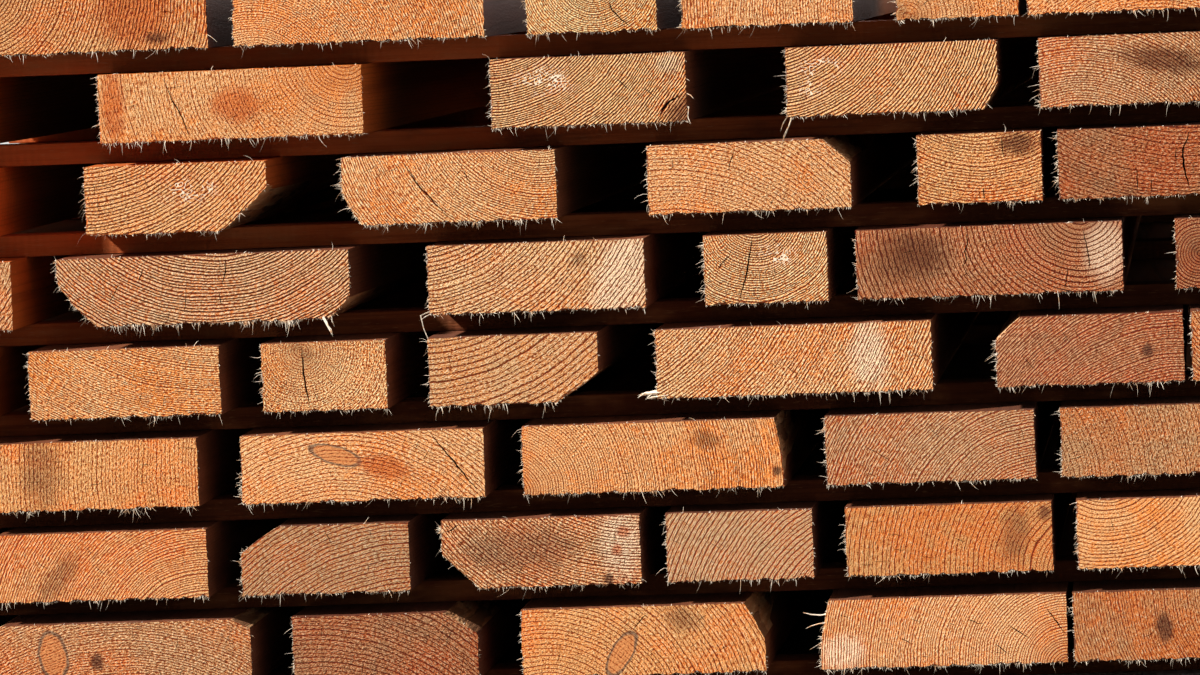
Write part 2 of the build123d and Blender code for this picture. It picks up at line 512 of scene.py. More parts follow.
LAYERS: Tuple[Tuple[Grain, ...], ...] = (
    (
        Grain((60, -40), 2.6, Tone.TAN),
        Grain(
            (96, -145), 2.0, Tone.GREYED, 212, figure=0.8, grit=1.1,
            patches=(Patch(Mark.KNOT, (49, 27), 10.5, 18, 8), Patch(Mark.SPOT, (81, 22), 5, 6)),
        ),
        Grain((15, -120), 3.2, Tone.DARK, 195, figure=1.0, grit=1.1, lift=0.88),
        Grain(
            (17, -45), 3.1, Tone.TAN, 173, grit=0.85, lift=0.95,
            checks=(Check(((92, 45), (86, 39), (80, 32)), 0.7),),
            patches=(Patch(Mark.KNOT, (72, 16), 18, 7.5, 58), Patch(Mark.STAIN, (116, 40), 13, 8, -20)),
        ),
        Grain(
            (175, -1), 1.9, Tone.BRIGHT, 175.5, fuzz=1.5, hairlines=5, figure=1.2, grit=0.8, lift=0.93,
            checks=(
                Check(((162, 40), (170, 29), (175.5, 20)), 0.9),
                Check(((135, 28), (143, 23), (150, 18)), 0.8), Check(((124, 16), (135, 7)), 0.7),
                Check(((106, 33), (118, 29)), 0.7), Check(((57, 21), (66, 17)), 0.6),
            ),
            patches=(Patch(Mark.PALE, (16, 12), 15, 12),),
            splinters=(
                Splinter(((8, 40), (-3, 39), (-12, 42)), 0.6),
                Splinter(((7, 34), (-4, 33), (-10, 30)), 0.5),
            ),
        ),
        Grain(
            (182, 57), 2.0, Tone.GREYED, figure=0.55, grit=0.75, lift=0.83,
            patches=(Patch(Mark.SPOT, (65, 23), 6, 11, 10),),
        ),
    ),
    (
        Grain((95, 20), 2.4, Tone.TAN),
        Grain(
            (156, -44), 1.9, Tone.TAN, 177, figure=1.6, grit=0.9, lift=0.91,
            patches=(Patch(Mark.STAIN, (49, 17), 21, 8, 48),),
        ),
        Grain(
            (123, -124), 2.9, Tone.GREYED, 198, figure=1.6, grit=0.9, lift=0.68,
            checks=(Check(((62, 46), (67, 35)), 0.6),),
        ),
        Grain(
            (142, 149), 2.2, Tone.GREYED, 188, figure=1.3, grit=1.2, lift=1.16,
            checks=(Check(((3, 42), (8, 43), (14, 47)), 0.9),),
            patches=(
                Patch(Mark.GREY, (55, 28), 42, 16), Patch(Mark.PALE, (130, 30), 14, 22),
                Patch(Mark.HEART, (132, 38), 5, 4), Patch(Mark.HEART, (127, 25), 4, 4),
                Patch(Mark.SPOT, (120, 4), 3.5, 4.5),
            ),
        ),
        Grain((153, -47), 3.1, Tone.GREYED, figure=2.3, grit=0.8, lift=0.73),
        Grain(
            (176, -2), 3.3, Tone.TAN, figure=0.7, grit=0.7, lift=0.76,
            patches=(Patch(Mark.STAIN, (121, 27), 10, 19, -10), Patch(Mark.SHADE, (143, 42), 5, 5)),
        ),
        Grain((22, 88), 2.6, Tone.BRIGHT, figure=0.6, grit=0.62),
    ),
    (
        Grain((120, -60), 2.4, Tone.TAN),
        Grain(
            (420, 20), 2.8, Tone.TAN, figure=0.65, grit=0.9, lift=0.96,
            patches=(Patch(Mark.STAIN, (46, 28), 14, 24),),
        ),
        Grain(
            (70, -90), 2.8, Tone.BRIGHT, figure=0.85, grit=0.95,
            checks=(Check(((138, 48), (152, 30), (171, 5)), 1.1, 45),),
            patches=(Patch(Mark.KNOT, (69, 34), 19, 6.5, -18), Patch(Mark.HEART, (104, 24), 18, 8, -12)),
        ),
        Grain(
            (-8, 3), 1.9, Tone.BRIGHT, 196, figure=0.65, grit=0.75, lift=1.06,
            patches=(Patch(Mark.STAIN, (133, 36), 10, 6), Patch(Mark.SPOT, (183, 12), 3, 3)),
        ),
        Grain(
            (158, -51), 2.1, Tone.GREYED, figure=1.8, lift=0.8,
            checks=(Check(((26, 29), (38, 22), (49, 15)), 0.5),),
        ),
        Grain((-85, -10), 3.0, Tone.GREYED, figure=0.45, grit=0.9, lift=0.84),
    ),
    (
        Grain((-30, 10), 2.2, Tone.TAN),
        Grain((140, 213), 1.65, Tone.BRIGHT, figure=0.8, lift=1.16),
        Grain(
            (30, 44), 1.9, Tone.BRIGHT, hairlines=4, figure=0.6, grit=1.45, lift=1.2,
            checks=(Check(((30, 48), (30.5, 36), (31, 24), (33, 12), (34, 2)), 1.2, 45),),
        ),
        Grain((-5, 173), 4.1, Tone.STRAW, 198, hairlines=2, figure=0.85, grit=0.9, lift=0.93),
        Grain(
            (-84, 157), 2.2, Tone.BRIGHT, fuzz=1.3, figure=1.2, grit=1.1, lift=1.1,
            patches=(Patch(Mark.PALE, (153, 27), 13, 24),),
            splinters=(
                Splinter(((3, 5), (-5, 5), (-13, 3)), 2.2), Splinter(((8, 3), (-2, 2), (-8, 1)), 1.0),
            ),
        ),
        Grain(
            (131, -94), 1.9, Tone.DARK, 183, figure=1.7, lift=0.97,
            patches=(Patch(Mark.SPOT, (108, 23), 4, 5),),
        ),
        Grain((60, 80), 2.4, Tone.GREYED, figure=0.8, grit=1.1),
    ),
    (
        Grain((20, 90), 3.0, Tone.GREYED),
        Grain(
            (115, 146), 2.2, Tone.GREYED, 131, (112, 100), fuzz=1.7, hairlines=4, figure=2.1, lift=1.05,
            checks=(
                Check(((124, 47), (123, 36), (120, 27)), 0.8), Check(((118, 23), (119, 12)), 0.7),
                Check(((64, 42), (59, 30)), 0.7), Check(((47, 33), (37, 17)), 0.7),
                Check(((94, 24), (92, 8)), 0.6),
            ),
            splinters=(Splinter(((192, 3), (196, -5), (199, -12)), 1.1),),
        ),
        Grain(
            (-11, 132), 2.8, Tone.BRIGHT, figure=1.5, grit=1.3, lift=0.97,
            patches=(Patch(Mark.PALE, (141, 24), 19, 34, -20), Patch(Mark.STAIN, (110, 37), 6, 5)),
            splinters=(
                Splinter(((3, 4), (-5, 1), (-8, -1), (-2, -13), (1, -22)), 0.55),
                Splinter(((5, 3), (-1, 0), (-6, -3)), 0.5),
            ),
        ),
        Grain(
            (38, 62), 1.7, Tone.BRIGHT, hairlines=5, figure=1.8, grit=1.2, lift=1.2,
            checks=(
                Check(((36, 48), (34, 38), (32, 27), (28, 13), (25, 2)), 1.1, 45),
                Check(((21, 37), (15, 31), (9, 25)), 0.7),
            ),
            patches=(Patch(Mark.RESIN_GLINT, (52, 35), 15, 9),),
        ),
        Grain(
            (161, 61), 3.3, Tone.DARK, figure=1.2, grit=1.1,
            checks=(
                Check(((79, 47), (80, 39), (78, 32), (79, 26), (76, 20)), 0.9),
                Check(((162, 46), (165, 30), (167, 15)), 0.8),
                Check(((151, 18), (149, 9), (148, 2)), 0.8),
            ),
            patches=(
                Patch(Mark.STAIN, (34, 28), 32, 22), Patch(Mark.SHADE, (43, 32), 21, 14),
                Patch(Mark.PALE, (178, 30), 14, 20),
            ),
        ),
        Grain((18, 25), 2.1, Tone.DARK, figure=1.1, grit=0.95, lift=0.9),
    ),
    (
        Grain((150, -40), 2.6, Tone.TAN),
        Grain(
            (-4, 148), 2.6, Tone.TAN, 180, figure=1.6, grit=1.15,
            patches=(Patch(Mark.RESIN_GLINT, (76, 30), 20, 10),),
        ),
        Grain(
            (146, 95), 1.8, Tone.BRIGHT, 163, fuzz=1.8, hairlines=5, figure=1.0, grit=0.95, lift=1.13,
            checks=(
                Check(((45, 46), (50, 37), (57, 26), (78, 2)), 0.9, 40), Check(((88, 38), (93, 27)), 0.7),
                Check(((100, 40), (104, 31)), 0.5),
            ),
        ),
        Grain(
            (15, -102), 2.8, Tone.BRIGHT, 188, figure=0.8, grit=1.1,
            checks=(Check(((64, 46), (61, 38), (58, 29)), 0.7),),
        ),
        Grain(
            (49, 125), 2.3, Tone.TAN, figure=1.0, grit=1.2, lift=1.05,
            checks=(Check(((61, 46), (62, 32)), 0.7), Check(((47, 12), (47, 2)), 0.8)),
            patches=(Patch(Mark.SHADE, (73, 41), 15, 8),),
        ),
        Grain(
            (98, 206), 2.7, Tone.DARK, figure=0.65, grit=0.95, lift=0.95,
            checks=(
                Check(((95, 48), (89, 34), (89, 21), (93, 2)), 1.5, 50), Check(((84, 36), (84, 23)), 0.7),
                Check(((56, 22), (56, 3)), 0.7), Check(((66, 13), (66, 3)), 0.6),
            ),
        ),
    ),
    (
        Grain((80, -70), 2.8, Tone.TAN),
        Grain(
            (181, 58), 2.6, Tone.BRIGHT, fuzz=1.3, figure=0.5, grit=0.85, lift=0.96,
            checks=(Check(((48, 46), (55, 28), (60, 19), (66, 2)), 0.9, 40),),
            patches=(Patch(Mark.HEART, (11, 26), 8, 26), Patch(Mark.HEART, (100, 24), 18, 12)),
        ),
        Grain(
            (-3, 116), 1.8, Tone.TAN, fuzz=1.2, figure=2.9, grit=1.1, lift=1.1,
            checks=(
                Check(((136, 19), (130, 16), (124, 10.5), (121, 5)), 1.7, 18),
                Check(((90, 34), (101, 23)), 0.7), Check(((109, 26), (120, 18)), 0.6),
            ),
            patches=(
                Patch(Mark.RESIN_GLINT, (40, 33), 24, 11), Patch(Mark.PALE, (129, 42), 9, 6),
                Patch(Mark.SHADE, (139, 7), 13, 10, 35),
            ),
            splinters=(
                Splinter(((137, 14), (142, 10), (141, 4), (143, -2)), 0.6),
                Splinter(((136, 21), (143, 20), (146, 16)), 0.45),
            ),
        ),
        Grain(
            (-14, 101), 2.1, Tone.TAN, 184, figure=2.4, grit=1.15, lift=1.07,
            patches=(Patch(Mark.RESIN_GLINT, (26, 34), 17, 9), Patch(Mark.RESIN_GLINT, (18, 20), 9, 6)),
            splinters=(
                Splinter(((4, 2), (0, -8), (-5, -20)), 0.7), Splinter(((2, 3), (-3, -3), (-5, -10)), 0.5),
            ),
        ),
        Grain(
            (27, -64), 1.9, Tone.GREYED, figure=1.4, grit=1.1,
            patches=(Patch(Mark.SHADE, (90, 31), 30, 9, -8),),
        ),
    ),
    (
        Grain((100, 60), 3.0, Tone.TAN),
        Grain(
            (16, 50), 2.45, Tone.TAN, figure=1.1, grit=1.15, lift=0.95,
            patches=(Patch(Mark.HEART, (128, 29), 27, 26), Patch(Mark.SHADE, (145, 9), 8, 4)),
        ),
        Grain((13, -32), 1.75, Tone.BRIGHT, 180, hairlines=7, figure=0.8, lift=1.11),
        Grain(
            (50, 40), 1.6, Tone.BRIGHT, figure=1.3, grit=1.1, lift=1.3,
            checks=(Check(((60, 23), (62, 16), (68, 9), (75, 3)), 1.0),),
        ),
        Grain((161, 8), 2.0, Tone.BRIGHT, figure=0.8),
        Grain((8, 3), 2.65, Tone.BRIGHT, figure=0.5),
        Grain((90, -80), 2.3, Tone.BRIGHT, figure=0.6),
    ),
)


# Finishes

# The dark edge of a knot, how far apart the saw's marks are along a board, and how deep the top layer is
KNOT_RIM = (0.16, 0.105, 0.070)
SAW_PITCH = 6.5
TOP_LAYER_DEPTH = 58.0

# A colour, its height, which also sets its painted highlights and shade, and the share of the torn fibres'
# painted highlight that marks leave on it
Look = Tuple[Plug, Value, Number]


@dataclass(frozen=True)
class BoardFinish:
    """The wood of one board, whose rings run on from its ends to its sides.

    Attributes:
        name: The board's name.
        grain: How the board grew.
        corner: Its lower left front corner in the frame.
        width: How wide it is.
        number: Its own number, which moves its noise away from the other boards'.
    """

    name: str
    grain: Grain
    corner: Tuple[float, float, float]
    width: float
    number: int

    def _start(self, kind: str) -> Tuple[Palette, Graph, Plug, Plug]:
        """Start one of the board's materials.

        Args:
            kind: What it is on, such as end_grain.

        Returns:
            The palette, the nodes, the place on the board, and the place in noise of its own.
        """
        graph = Graph(f"{self.name}_{kind}")
        place = graph.place(self.corner)
        own = graph.vector("ADD", place, (self.number * 137.0, self.number * 911.0, self.number * 59.0))
        return self.grain.tone.value.lifted(self.grain.lift), graph, place, own

    def _rings(
        self, graph: Graph, place: Plug, swell: Optional[Value] = None
    ) -> Tuple[Value, Value, Value]:
        """Grow the rings round the pith.

        Args:
            graph: The material's nodes.
            place: The place on the board.
            swell: How far a knot pushes the rings out, where there is one.

        Returns:
            How far a place is from the pith and in which direction, and the dark latewood.
        """
        wander = graph.cloud(place, (38.0, 420.0, 38.0), 3.0, 0.55).outputs["Color"]
        wander = graph.vector("SUBTRACT", wander, (0.5, 0.5, 0.5))
        wander = graph.vector("MULTIPLY", wander, (5.0, 0.0, 5.0))
        across, back, up = graph.axes(graph.vector("ADD", place, wander))
        across = across - self.grain.pith[0]
        up = up - self.grain.pith[1]
        radius = (across * across + up * up).root() - back * LOG_TAPER
        if swell is not None:
            radius = radius + swell
        years = radius / self.grain.ring
        slow = graph.node(
            "ShaderNodeTexNoise",
            {"noise_dimensions": "1D"},
            {"W": years * 0.21 + float(self.number), "Scale": 1.0, "Detail": 1.0},
        )
        years = years + (Value(graph, slow.outputs[0]) - 0.5) * 1.4
        along = years.fraction()
        strength = graph.chance(years.whole()) * 0.5 + 0.5
        start = float(np.interp(self.grain.ring, (1.9, 3.0), (0.42, 0.62)))
        late = along.rise(start, 0.92) * along.rise(1.0, 0.95) * strength
        return radius, graph.math("ARCTAN2", up, across), late

    def _stipple(self, graph: Graph, radius: Value, angle: Value, back: Value) -> Value:
        """Roughen the end in short dashes that lie along the rings.

        Args:
            graph: The material's nodes.
            radius: How far a place is from the pith.
            angle: Its direction from the pith, in radians.
            back: How far behind the front end it is.

        Returns:
            The noise, about 0.5.
        """
        middle = np.array((90.0, 25.0)) - self.grain.pith
        usual = float(max(25.0, np.linalg.norm(middle)))
        parts = (radius / 0.66, angle * (usual / 2.4), back / 6.0 + self.number * 7.0)
        place = graph.node("ShaderNodeCombineXYZ", {}, dict(enumerate(parts)))
        return graph.noise(place.outputs[0], 1.0, 1.0, 0.5)

    def _patch(self, graph: Graph, patch: Patch, place: Plug) -> Tuple[Value, Value]:
        """Lay out one mark.

        Args:
            graph: The material's nodes.
            patch: The mark.
            place: The place on the board.

        Returns:
            How far out of its middle a place is, 1 at its edge, and the mark's mask.
        """
        across, back, up = graph.axes(place)
        cos, sin = math.cos(math.radians(patch.turn)), math.sin(math.radians(patch.turn))
        across = across - patch.middle[0]
        up = up - patch.middle[1]
        along = (across * cos + up * sin) / patch.across
        over = (up * cos - across * sin) / patch.up
        _, _, soft = patch.mark.value
        lumps = min(patch.across, patch.up) * 0.9
        ragged = (graph.noise(place, lumps, 3.0) - 0.5) * (1.7 * soft)
        out = (along * along + over * over).root() + ragged
        mask = out.rise(1.0 + soft, 1.0 - soft) * back.rise(1500.0, 600.0)
        return out, mask

    def _marked(self, graph: Graph, place: Plug, own: Plug, clumps: Value, look: Look) -> Look:
        """Lay the board's marks on its end.

        Args:
            graph: The material's nodes.
            place: The place on the board.
            own: The place in noise of the board's own.
            clumps: The noise that gathers the resin specks and their painted glints.
            look: The end's look before the marks.

        Returns:
            Its look with them.
        """
        colour, level, highlight_share = look
        for patch in self.grain.patches:
            paint, strength, _ = patch.mark.value
            out, mask = self._patch(graph, patch, place)
            if patch.mark is Mark.RESIN_GLINT:
                # Pale resin specks, with the glints that they catch painted into their colour
                spread = mask * clumps.rise(0.38, 0.50)
                swirl = graph.noise(own, (2.6, 9.0, 2.6), 0.0) - 0.5
                mask = spread * (swirl * swirl).rise(0.0045, 0.0012)
                level = (level - spread * 0.22) * (1.0 - mask) + mask * 0.64
            colour = graph.paint(colour, paint, mask * strength)
            if patch.mark is Mark.PALE:
                level = level + mask * 0.10
            else:
                highlight_share = highlight_share * (1.0 - mask * strength)
            if patch.mark is Mark.KNOT:
                turns = (out * 24.0).sine() * 0.10
                level = level * (1.0 - mask) + mask * (level * 0.45 + 0.27 + turns)
                edge = out.rise(0.80, 0.94) * out.rise(1.13, 1.0)
                colour = graph.paint(colour, KNOT_RIM, edge * 0.85)
        return colour, level, highlight_share

    def end(self) -> bpy.types.Material:
        """Make the rough-sawn end grain.

        Returns:
            The material.
        """
        tone, graph, place, own = self._start("end_grain")
        radius, angle, late = self._rings(graph, place)
        dashes = self._stipple(graph, radius, angle, graph.axes(place)[1])
        fine = dashes * 0.65 + graph.noise(own, (1.0, 5.0, 1.0), 1.0, 0.6) * 0.35
        clumps = graph.noise(own, 11.0, 2.0)
        broad = graph.noise(own, 55.0, 1.0)
        level = (fine - 0.5) * (4.4 * self.grain.grit) - (late - 0.12) * (self.grain.figure * 1.45)
        level = level + (clumps - 0.5) * 0.35 + 0.5
        hue = broad * 0.55 + clumps * 0.45
        colour = graph.paint(tone.early, tone.warm, hue.rise(0.47, 0.60))
        colour = graph.paint(colour, tone.dry, hue.rise(0.48, 0.36))
        colour, level, highlight_share = self._marked(graph, place, own, clumps, (colour, level, 1.0))
        # Where the relief is low the wood is darkened by latewood and by painted shade, the lowest most as
        # painted shade of small hollows; where it is high the torn fibres get a painted highlight over
        # their own paler colour
        colour = graph.coats(
            colour,
            (graph.vector("MULTIPLY", colour, tone.late_share), level.rise(0.50, 0.20)),
            (graph.vector("MULTIPLY", colour, tone.pit_shade_share), level.rise(0.24, -0.06)),
            (tone.torn, level.rise(0.66, 1.05) * 0.85 * highlight_share),
        )
        return graph.finish(colour, 0.95 - fine * 0.2, level, 0.42)

    def _knots(self, graph: Graph, own: Plug) -> Tuple[Value, Value, Value]:
        """Scatter knots through the board.

        Args:
            graph: The material's nodes.
            own: The place in noise of the board's own.

        Returns:
            How far out of its knot a place is, 1 at the edge, the knots' mask, and how far they push
            the rings out.
        """
        spread = (95.0, 330.0, 70.0)
        cell = graph.node(
            "ShaderNodeTexVoronoi",
            {"voronoi_dimensions": "3D", "feature": "F1"},
            {"Vector": graph.vector("DIVIDE", own, spread), "Scale": 1.0, "Randomness": 0.9},
        )
        offset = graph.vector("SUBTRACT", own, graph.vector("MULTIPLY", cell.outputs["Position"], spread))
        knot_x, knot_y, knot_z = graph.axes(graph.vector("DIVIDE", offset, (1.0, 1.5, 1.0)))
        reach = (knot_x * knot_x + knot_y * knot_y + knot_z * knot_z).root()
        lot = Value(graph, graph.node("ShaderNodeSeparateColor", {}, {0: cell.outputs["Color"]}).outputs[0])
        size = ((lot - 0.45) * 26.0).at_least(0.5)
        present = lot.rise(0.50, 0.56)
        out = reach / size
        return out, out.rise(1.15, 0.85) * present, (reach / (size * 1.6)).rise(2.4, 0.4) * 9.0 * present

    def _on_top(self) -> bool:
        """Say whether the board is in the top layer."""
        return self.corner[2] > STACK_TOP - TOP_LAYER_DEPTH

    def _painted_inner_light(self) -> Colour:
        """Give the painted light and shade of the inner faces: painted shade low down and in the top layer,
        and painted bounce light, redder, the nearer they are to the sun.
        """
        if self._on_top():
            # The top layer's inner faces get painted shade, as of a layer lying above them
            return (0.17, 0.095, 0.10)
        # Painted shade low down and to the right, and painted bounce light, redder, high up and to the
        # left, towards the sun
        low, high = np.array((0.44, 0.32, 0.36)), np.array((1.60, 0.86, 0.36))
        sunward = self.corner[2] - 0.6 * (self.corner[0] + self.width)
        return tuple((low + (high - low) * np.interp(sunward, (390.0, 490.0), (0.0, 1.0))).tolist())

    def _painted_light_mask(self, graph: Graph, place: Plug, blotch: Value) -> Value:
        """Find the inner faces near the ends, where the painted light and shade of the daylight between the
        boards lie.

        Args:
            graph: The material's nodes.
            place: The place on the board.
            blotch: The noise that makes the border uneven.

        Returns:
            Their mask.
        """
        back = graph.axes(place)[1] + (blotch - 0.5) * 90.0
        # How far back the painted light and shade fade out, and how far they are full
        light_gone_at, light_full_to = (480.0, 260.0) if self._on_top() else (260.0, 90.0)
        near_ends = back.rise(light_gone_at, light_full_to) + back.rise(BOARD_LENGTH - light_gone_at, BOARD_LENGTH - light_full_to)
        across, _, up = graph.axes(graph.place(ORIGIN))
        outer, inner = STACK_RIGHT - 13.0, STACK_RIGHT - 30.0
        between = across.rise(-outer, -inner) * across.rise(outer, inner)
        return near_ends * between * up.rise(STACK_TOP - 2.0, STACK_TOP - 10.0)

    def side(self) -> bpy.types.Material:
        """Make the sawn sides, with knots, saw marks, the rings cut lengthwise, and painted light and shade
        on their inner faces near the ends.

        Returns:
            The material.
        """
        tone, graph, place, own = self._start("sawn_side")
        out, knot, swell = self._knots(graph, own)
        _, _, late = self._rings(graph, place, swell)
        fine = graph.noise(own, (1.6, 14.0, 1.6), 2.0, 0.6)
        streaks = graph.noise(own, (17.0, 620.0, 17.0), 3.0)
        blotch = graph.noise(own, (60.0, 260.0, 60.0), 2.0)
        across, back, up = graph.axes(own)
        saw = (back + across * 0.12 + up * 0.08).wave(SAW_PITCH) * blotch.rise(0.35, 0.65)
        dull = tuple(part * 0.62 for part in tone.side)
        pale = tuple(min(1.0, part * 1.32 + 0.03) for part in tone.side)
        colour = graph.coats(
            tone.side,
            (dull, late * 0.75),
            (pale, streaks.rise(0.45, 0.72) * 0.65),
            (dull, streaks.rise(0.47, 0.28) * 0.70),
            ((0.30, 0.19, 0.12), blotch.rise(0.56, 0.78) * 0.45),
            (dull, saw * 0.22),
            (pale, fine.rise(0.60, 0.75) * 0.45),
            ((0.20, 0.075, 0.030), knot * 0.88),
            ((0.36, 0.14, 0.055), knot * ((out * 17.0).sine() * 0.5 + 0.5) * out.rise(0.95, 0.7) * 0.7),
        )
        # Painted bounce light and painted shade on the inner faces near the ends
        lit_and_shaded = graph.vector("MULTIPLY", colour, self._painted_inner_light())
        colour = graph.paint(colour, lit_and_shaded, self._painted_light_mask(graph, place, blotch))
        height = fine * 0.55 + saw * 0.35 - late * 0.15 + knot * 0.2
        return graph.finish(colour, 0.92 - fine * 0.15, height, 0.7)


class SharedFinish(Enum):
    """The finishes that all boards and stickers share."""

    WANE = "waney_edge"
    FIBRE = "torn_fibre"
    CRACK = "check_wall"
    STICKER = "sticker_wood"
    STICKER_END = "sticker_end_grain"

    def make(self) -> bpy.types.Material:
        """Make the finish.

        Returns:
            The material.
        """
        graph = Graph(self.value)
        makers = {
            SharedFinish.WANE: self._wane,
            SharedFinish.FIBRE: self._fibre,
            SharedFinish.CRACK: self._crack,
            SharedFinish.STICKER: self._sticker,
            SharedFinish.STICKER_END: self._sticker_end,
        }
        return makers[self](graph, graph.place(ORIGIN))

    def _wane(self, graph: Graph, place: Plug) -> bpy.types.Material:
        """Make the smooth outer wood of the log, with scraps of inner bark on it."""
        strands = graph.noise(place, (5.0, 90.0, 5.0), 4.0, 0.6)
        scraps = graph.noise(place, (16.0, 110.0, 16.0), 3.0, 0.6)
        fine = graph.noise(place, (1.2, 9.0, 1.2), 2.0)
        colour = graph.coats(
            (0.52, 0.24, 0.10),
            ((0.70, 0.42, 0.21), strands.rise(0.42, 0.66)),
            ((0.16, 0.062, 0.026), scraps.rise(0.53, 0.60) * 0.85),
            ((0.30, 0.12, 0.05), fine.rise(0.5, 0.3) * 0.4),
        )
        height = strands * 0.8 + scraps.rise(0.53, 0.58) * 0.9 + fine * 0.3
        return graph.finish(colour, 0.9 - strands * 0.25, height, 1.1)

    def _fibre(self, graph: Graph, place: Plug) -> bpy.types.Material:
        """Make the pale torn fibres."""
        tint = graph.noise(place, 3.5, 1.0)
        colour = graph.paint((0.96, 0.84, 0.68), (0.84, 0.46, 0.22), tint.rise(0.50, 0.68) * 0.8)
        return graph.finish(colour, 0.9 - tint * 0.2, tint, 0.15)

    def _crack(self, graph: Graph, place: Plug) -> bpy.types.Material:
        """Make the walls of the checks, painted dark with the shade inside them."""
        strands = graph.noise(place, (1.5, 20.0, 1.5), 2.0)
        colour = graph.paint((0.085, 0.032, 0.014), (0.19, 0.075, 0.03), strands.rise(0.45, 0.7))
        return graph.finish(colour, 0.95 - strands * 0.1, strands, 0.3)

    def _sticker(self, graph: Graph, place: Plug) -> bpy.types.Material:
        """Make the weathered sawn strips, with painted light that makes them redder high up on the left and
        painted shade that makes them darker low on the right.
        """
        strands = graph.noise(place, (150.0, 2.6, 2.6), 4.0, 0.6)
        stains = graph.noise(place, (85.0, 30.0, 22.0), 3.0, 0.6)
        fine = graph.noise(place, (9.0, 1.1, 1.1), 2.0)
        across, back, up = graph.axes(place)
        saw = (across + back * 0.2).wave(5.5)
        # High up and to the left the strips get painted bounce light, redder; low down and to the right,
        # painted shade
        high = up - across * 0.35
        colour = graph.coats(
            (0.30, 0.080, 0.022),
            ((0.17, 0.042, 0.011), strands.rise(0.42, 0.64)),
            ((0.62, 0.125, 0.030), high.rise(290.0, 500.0) * 0.52),
            ((0.050, 0.013, 0.005), high.rise(375.0, 270.0) * 0.68),
            ((0.38, 0.130, 0.045), stains.rise(0.50, 0.74) * 0.75),
            ((0.10, 0.034, 0.014), stains.rise(0.46, 0.26) * 0.7),
            ((0.40, 0.18, 0.08), fine.rise(0.60, 0.76) * 0.45),
        )
        height = strands * 0.6 + fine * 0.5 + saw * 0.25
        return graph.finish(colour, 0.95 - fine * 0.15, height, 0.7)

    def _sticker_end(self, graph: Graph, place: Plug) -> bpy.types.Material:
        """Make the cut ends of the strips."""
        _, back, up = graph.axes(place)
        bend = graph.noise(place, 26.0, 2.0)
        rings = ((up + back * 0.35 + bend * 22.0) / 2.4).fraction()
        late = rings.rise(0.3, 0.85) * rings.rise(1.0, 0.93)
        fine = graph.noise(place, 1.2, 2.0)
        colour = graph.coats(
            (0.36, 0.165, 0.075),
            ((0.16, 0.058, 0.024), late * 0.8),
            ((0.55, 0.33, 0.18), fine.rise(0.56, 0.72) * 0.5),
        )
        return graph.finish(colour, 0.95 - fine * 0.1, fine * 0.8 - late * 0.3, 0.7)


# Meshes

# A board's bake map has its front end at the bottom, its sides across the top, and between them, from
# the left, its back end at half size, the walls of its checks and its fibres
MAP_EDGE = 0.002
END_WIDTH, END_HEIGHT = 0.97, 0.30
MIDDLE_ROW = 0.312
CHECKS_LEFT, CHECKS_HEIGHT, CHECK_WALL = 0.505, 0.145, 0.008
FRONT_FIBRES_LEFT, BACK_FIBRES_LEFT = 0.55, 0.77
FIBRE_CELL = (0.0044, 0.0088)
FIBRES_IN_ROW = 48
SIDES_LOW, SIDES_HEIGHT, SIDES_WIDTH = 0.47, 0.52, 0.98

# Two faces that meet more sharply than this, in degrees, get a crisp edge between them
CRISP_EDGE = 32

# How the saw left the edges of an end below, right, above and left: how deep they are chipped, how many
# fibres stand on each millimetre, and how many of those are long
CHIPPED = (1.7, 0.55, 0.30, 1.5)
FIBRES_PER_MM = (1.10, 0.10, 0.10, 1.25)
LONG_FIBRES = (0.15, 0.08, 0.08, 0.24)

# How far in the saw left the wood and how unevenly, and how far back the chips of an end fade
SAW_DEPTH, SAW_UNEVEN = 0.22, 0.2
CHIP_FADE = 1.1

# Where the points of a fibre lie along its length, the first one inside the wood, how thick its sides
# are at all but the last, and how many sides it has
FIBRE_STEPS = (-0.25, 0.35, 0.7, 1.0)
FIBRE_TAPER = (1.0, 0.85, 0.55)
FIBRE_SIDES = 3

# The least gaps between two checks, from a check to the edge, and from a hairline's middle to the edge
CHECKS_APART = 1.2
CHECK_TO_EDGE = 0.7
HAIRLINE_TO_EDGE = 6

# The numbers of a board's materials
END, SIDE, WANE, FIBRE, CRACK = range(5)


